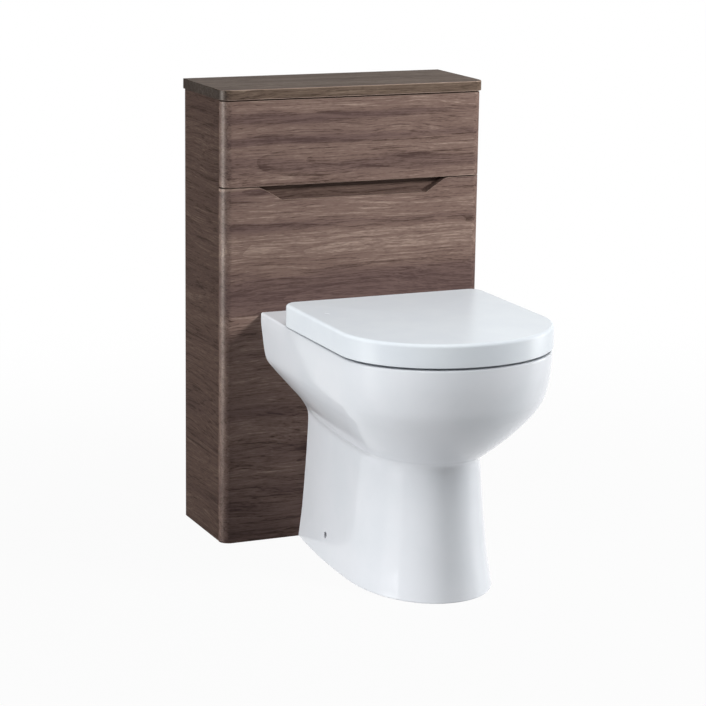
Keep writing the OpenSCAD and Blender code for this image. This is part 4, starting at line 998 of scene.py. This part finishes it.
# Axis of the grain, place in the figure, colours from dark to light and the mauve one, bands
WOODS = {
    "walnut_upper": ("X", (0.0, 0.0, 0.0), (), UPPER_BANDS),
    # The lower front's bands are partly painted shade low on the front
    "walnut_lower": ("X", (0.7, 0.4, 0.9), (), LOWER_BANDS_AND_SHADE),
    # The worktop's colours are darker than the fronts' to offset the key light on its top: painted
    # shade
    "walnut_top_painted_shade": ("X", (1.9, 0.2, 0.1),
                   ((58, 47, 40), (101, 86, 75), (136, 119, 105), (81, 67, 63)), ()),
    # A lighter copy of the walnut for the eased arrises of the faces: painted highlight
    "walnut_edge_highlight": ("X", (0.9, 0.6, 0.3),
                    ((124, 105, 94), (158, 138, 125), (182, 162, 148), (134, 115, 108)), ()),
    # A darker copy of the walnut for the rail in the finger pull's recess: painted shade
    "walnut_rail_painted_shade": ("X", (0.4, 0.1, 0.6),
                    ((66, 52, 46), (98, 81, 74), (124, 105, 94), (84, 68, 68)), ()),
    "walnut_side": ("Y", (0.31, 0.12, 0.2),
                    ((78, 60, 52), (126, 101, 90), (160, 134, 120), (101, 78, 75)), ()),
    "carcass_board": ("X", (1.4, 0.3, 0.7), ((92, 76, 62), (126, 108, 92), (150, 132, 114)), ()),
    "dowel_wood": ("X", (2.1, 0.3, 0.1), ((176, 142, 100), (201, 171, 124), (216, 190, 148)), ()),
}

# Colour, patch colour, roughness and its spread, patches and grain per metre, bump and its depth
FINISHES = {
    "glazed_ceramic": ((220, 223, 228), (216, 220, 225), 0.12, 0.04, 9.0, 60.0, 0.05, 0.0006),
    "seat_plastic": ((217, 223, 228), (213, 219, 225), 0.26, 0.06, 12.0, 90.0, 0.03, 0.0004),
    "pad_plastic": ((222, 222, 220), (212, 212, 209), 0.5, 0.1, 60.0, 1500.0, 0.15, 0.0002),
    "chrome": ((214, 216, 219), (206, 208, 212), 0.09, 0.08, 70.0, 700.0, 0.03, 0.0001),
    "zinc": ((186, 190, 194), (160, 162, 164), 0.33, 0.22, 160.0, 2200.0, 0.2, 0.0001),
    # Black steel, also dark enough to stand for the shade in the side screw's hole: partly painted
    # shade
    "black_steel_hole_shade": ((30, 32, 34), (22, 24, 26), 0.45, 0.1, 140.0, 2000.0, 0.15, 0.0001),
    "fitting_plastic": ((226, 226, 222), (216, 216, 211), 0.36, 0.1, 30.0, 1400.0, 0.12, 0.0002),
    "cistern_plastic": ((222, 223, 222), (218, 219, 218), 0.42, 0.1, 14.0, 1100.0, 0.2, 0.0003),
    "piston_plastic": ((190, 52, 44), (174, 45, 38), 0.35, 0.1, 40.0, 1400.0, 0.12, 0.0002),
    "float_plastic": ((70, 118, 164), (61, 106, 150), 0.38, 0.1, 40.0, 1400.0, 0.12, 0.0002),
    "rubber": ((42, 42, 44), (34, 34, 36), 0.62, 0.14, 50.0, 1800.0, 0.25, 0.0002),
}
OTHER_SOCKETS = {
    "glazed_ceramic": ("Specular IOR Level", 0.14),
    "seat_plastic": ("Specular IOR Level", 0.1),
    "chrome": ("Metallic", 1.0),
    "zinc": ("Metallic", 1.0),
}
# The photo shows the screw in the pan's side as a black spot
# Its black also stands in for the shade in the screw's hole: painted shade
OTHER_FINISHES = {"pan_side_screws": "black_steel_hole_shade"}


def blank_material(name):
    material = bpy.data.materials.new(name)
    material.use_nodes = True
    tree = material.node_tree
    shader = tree.nodes["Principled BSDF"]
    place = tree.nodes.new("ShaderNodeTexCoord").outputs["Object"]
    return material, tree, shader, place


def cover_with(tree, shader, surface, strength, depth):
    """Links a surface group to the shader: its colour, its roughness and its height as bump."""
    tree.links.new(surface.outputs["Color"], shader.inputs["Base Color"])
    tree.links.new(surface.outputs["Roughness"], shader.inputs["Roughness"])
    bump = add(tree, "ShaderNodeBump", values={
        "Strength": strength, "Distance": depth, "Height": surface.outputs["Height"]})
    tree.links.new(bump.outputs["Normal"], shader.inputs["Normal"])


def band_ramp(tree, place, bands):
    """The given bands as a tone by height, with a slight waver."""
    foot, top = bands[0][0], bands[-1][0]
    waver = noise(tree, vector_math(tree, "MULTIPLY", place, BAND_WAVER), 1.0, 2.0, 0.5)
    height = add(tree, "ShaderNodeSeparateXYZ", values={0: place}).outputs["Z"]
    height = math_node(tree, "ADD", height, swing(tree, waver, BAND_WAVER_REACH))
    share = math_node(tree, "DIVIDE", math_node(tree, "SUBTRACT", height, foot * MM),
                      (top - foot) * MM)
    ramp = add(tree, "ShaderNodeValToRGB", values={0: share})
    ramp.color_ramp.interpolation = "EASE"
    stops = ramp.color_ramp.elements
    for stop, (z, tone) in zip([*stops, *(stops.new(0.5) for _ in bands[2:])], bands):
        stop.color = (tone, tone, tone, 1.0)
        stop.position = (z - foot) / (top - foot)
    return ramp.outputs["Color"]


def walnut(name, grain, along, offset, colours, bands):
    """Matt wood foil with its grain along one axis of the unit, and with given bands if any."""
    material, tree, shader, place = blank_material(name)
    turn = (0.0, 0.0, math.radians(-90)) if along == "Y" else (0.0, 0.0, 0.0)
    mapped = add(tree, "ShaderNodeMapping", values={
        "Vector": place, "Location": offset, "Rotation": turn})
    wood = add(tree, "ShaderNodeGroup", node_tree=grain, values={"Vector": mapped.outputs[0]})
    for label, colour in zip(("Dark", "Middle", "Light", "Mauve"), colours):
        wood.inputs[label].default_value = srgb(*colour)
    if bands:
        tree.links.new(band_ramp(tree, place, bands), wood.inputs["Band"])
    shader.inputs["Specular IOR Level"].default_value = WOOD_SPECULAR
    cover_with(tree, shader, wood, PORE_STRENGTH, PORE_DEPTH)
    return material


def mottled(name, mottle, colour, patch, roughness, change, scale, fine, strength, depth):
    """A finish with soft patches in colour and gloss, and a fine bump."""
    material, tree, shader, place = blank_material(name)
    surface = add(tree, "ShaderNodeGroup", node_tree=mottle, values={
        "Vector": place, "Scale": scale, "Fine Scale": fine, "Colour": srgb(*colour),
        "Patch Colour": srgb(*patch), "Roughness": roughness, "Roughness Spread": change})
    if name in OTHER_SOCKETS:
        label, value = OTHER_SOCKETS[name]
        shader.inputs[label].default_value = value
    cover_with(tree, shader, surface, strength, depth)
    return material


def make_materials():
    grain = wood_grain_group()
    mottle = mottle_group()
    materials = {name: walnut(name, grain, *settings) for name, settings in WOODS.items()}
    # Of the CAD nodes with the slot walnut, only the rail behind the finger pull shows; its darker
    # colours are painted shade of the recess
    materials["walnut"] = materials["walnut_rail_painted_shade"]
    for name, settings in FINISHES.items():
        materials[name] = mottled(name, mottle, *settings)
    return materials


def dress_cad_nodes(materials):
    """Gives every CAD node the finish of its slot, or the one named for it."""
    for part in frame["record"]["subparts"]:
        mesh = frame["nodes"][part["node"]].data
        mesh.materials.clear()
        finish = OTHER_FINISHES.get(part["node"], part["material_slot"])
        mesh.materials.append(materials[finish])


# Floor, backdrop, light and camera, all in metres

FLOOR_COLOUR = (0.36, 0.36, 0.36, 1)
FLOOR_ROUGHNESS = 0.8
FLOOR_SIZE = 30.0
# Distances between which the floor turns from its level near the unit to white
FLOOR_FADE = (0.5, 2.2)
FLOOR_LEVEL = 0.955
WHITE = (1, 1, 1, 1)
WORLD_LIGHT = 0.19

# Azimuth from the front to the right, elevation, distance, size and strength of each lamp
KEY_SOFTBOX = (40, 30, 3.2, (0.8, 0.5), 1.14)
BACK_SOFTBOX = (180, 4, 3.0, (1.6, 1.6), 0.5)
EDGE_STRIP = (-93, 0, 1.2, (0.35, 1.0), 40.0)
WARE_SOFTBOXES = {
    "front_softbox": (-15, 50, 2.6, (1.6, 1.4), 0.59),
    "left_softbox": (-92, -10, 2.6, (1.1, 1.8), 0.79),
    "right_softbox": (85, -8, 2.6, (1.1, 1.8), 0.95),
    "top_softbox": (0, 84, 2.6, (1.6, 1.6), 0.46),
    "below_softbox": (-15, -40, 2.6, (1.6, 1.6), 0.02),
}
FILL_PLACE = (-106, 0, 2.0, (0.5, 1.2))
EDGE_FILL = 0.95
SIDE_FILL = 0.13
STRIP_COLOUR = (1.0, 0.9, 0.82)
UNIT_MIDDLE = (0, -0.1, 0.4)
LEFT_EDGE = (lower_low.x, FACE_Y, 0.42)

# The camera that was fitted to the photo's straight edges: yaw, pitch and roll in radians
CAMERA_TURNS = (0.417550, 0.225843, 0.0137317)
CAMERA_PLACE = (-1.71692, -3.70383, 1.30560)
CAMERA_LENS = 122.84
CAMERA_SENSOR = 36


def seen_as_white(tree):
    """One for the rays that show the backdrop: from the camera, in gloss and through glass."""
    path = tree.nodes.new("ShaderNodeLightPath")
    seen = math_node(tree, "MAXIMUM", path.outputs["Is Camera Ray"], path.outputs["Is Glossy Ray"])
    return math_node(tree, "MAXIMUM", seen, path.outputs["Is Transmission Ray"])


def make_stage():
    """A pale floor that is white to the eye and keeps a faint shadow near the unit."""
    material, tree, shader, place = blank_material("pale_floor")
    shader.inputs["Base Color"].default_value = FLOOR_COLOUR
    shader.inputs["Roughness"].default_value = FLOOR_ROUGHNESS
    white = add(tree, "ShaderNodeEmission", values={"Color": WHITE, "Strength": 1.0})
    length = add(tree, "ShaderNodeVectorMath", operation="LENGTH", values={0: place})
    level = spread(tree, length.outputs["Value"], *FLOOR_FADE, FLOOR_LEVEL, 1.0)
    share = math_node(tree, "MULTIPLY", seen_as_white(tree), level)
    mixed = add(tree, "ShaderNodeMixShader", values={
        0: share, 1: shader.outputs[0], 2: white.outputs[0]})
    tree.links.new(mixed.outputs[0], tree.nodes["Material Output"].inputs["Surface"])
    bm = bmesh.new()
    bmesh.ops.create_grid(bm, x_segments=8, y_segments=8, size=FLOOR_SIZE)
    floor = mesh_object("floor", bm)
    floor.data.materials.append(material)


def make_world():
    """A sky that looks white and lights the unit at a low level."""
    world = bpy.data.worlds.new("studio")
    bpy.context.scene.world = world
    world.use_nodes = True
    tree = world.node_tree
    backdrop = tree.nodes["Background"]
    backdrop.inputs["Color"].default_value = WHITE
    level = add(tree, "ShaderNodeMix", data_type="FLOAT", values={
        0: seen_as_white(tree), 2: WORLD_LIGHT, 3: 1.0})
    tree.links.new(level.outputs[0], backdrop.inputs["Strength"])


def add_light(name, azimuth, elevation, distance, size, strength, target=UNIT_MIDDLE):
    """A softbox; a strength of 1 lights a surface that faces it as a plain white sky does."""
    a, e = math.radians(azimuth), math.radians(elevation)
    away = Vector((math.sin(a) * math.cos(e), -math.cos(a) * math.cos(e), math.sin(e)))
    light = bpy.data.lights.new(name, "AREA")
    light.shape = "RECTANGLE"
    light.size, light.size_y = size
    light.energy = strength * (math.pi * distance) ** 2
    lamp = new_object(name, light)
    lamp.location = Vector(target) + away * distance
    lamp.rotation_euler = (-away).to_track_quat("-Z", "Y").to_euler()
    lamp.visible_camera = False
    return lamp


def linked(name, pieces, state="INCLUDE"):
    """A collection that tells a lamp which pieces it lights, or leaves out."""
    collection = bpy.data.collections.new(name)
    for piece in pieces:
        collection.objects.link(piece)
    for entry in collection.collection_objects:
        entry.light_linking.link_state = state
    return collection


def make_lights(ware, fronts, worktop, left_side):
    """A key for the woodwork, boxes for the white ware and a strip for the rounded edges."""
    white_ware = linked("white_ware", ware)
    key = add_light("key_softbox", *KEY_SOFTBOX)
    key.light_linking.receiver_collection = linked("all_but_white_ware", ware, "EXCLUDE")
    back = add_light("back_softbox", *BACK_SOFTBOX)
    back.visible_glossy = False
    for name, settings in WARE_SOFTBOXES.items():
        lamp = add_light(name, *settings)
        lamp.light_linking.receiver_collection = white_ware
        lamp.light_linking.blocker_collection = white_ware
    strip = add_light("edge_strip", *EDGE_STRIP, LEFT_EDGE)
    strip.data.color = STRIP_COLOUR
    strip.visible_diffuse = False
    strip.light_linking.receiver_collection = linked("rounded_fronts", [*fronts, worktop])
    for name, strength, lit in (("edge_fill", EDGE_FILL, fronts),
                                ("side_fill", SIDE_FILL, [left_side])):
        fill = add_light(name, *FILL_PLACE, strength, LEFT_EDGE)
        fill.visible_glossy = False
        fill.light_linking.receiver_collection = linked(name + "_boards", lit)


def make_camera():
    yaw, pitch, roll = CAMERA_TURNS
    ahead = Vector((math.sin(yaw) * math.cos(pitch), math.cos(yaw) * math.cos(pitch),
                    -math.sin(pitch)))
    level = Vector((math.cos(yaw), -math.sin(yaw), 0))
    above = level.cross(ahead)
    right = math.cos(roll) * level + math.sin(roll) * above
    up = math.cos(roll) * above - math.sin(roll) * level
    camera = new_object("camera", bpy.data.cameras.new("camera"))
    camera.data.lens = CAMERA_LENS
    camera.data.sensor_width = CAMERA_SENSOR
    turn = Matrix((right, up, -ahead)).transposed().to_4x4()
    camera.matrix_world = Matrix.Translation(CAMERA_PLACE) @ turn
    bpy.context.scene.camera = camera


def main():
    materials = make_materials()
    dress_cad_nodes(materials)
    fronts, worktop, left_side = make_cabinet(materials)
    ware = [make_pan(materials["glazed_ceramic"]), make_ring(materials["seat_plastic"]),
            make_lid(materials["seat_plastic"]), *make_bumpers(materials["pad_plastic"])]
    make_stage()
    make_world()
    make_lights(ware, fronts, worktop, left_side)
    make_camera()
    bpy.context.scene.view_settings.view_transform = "Standard"


main()
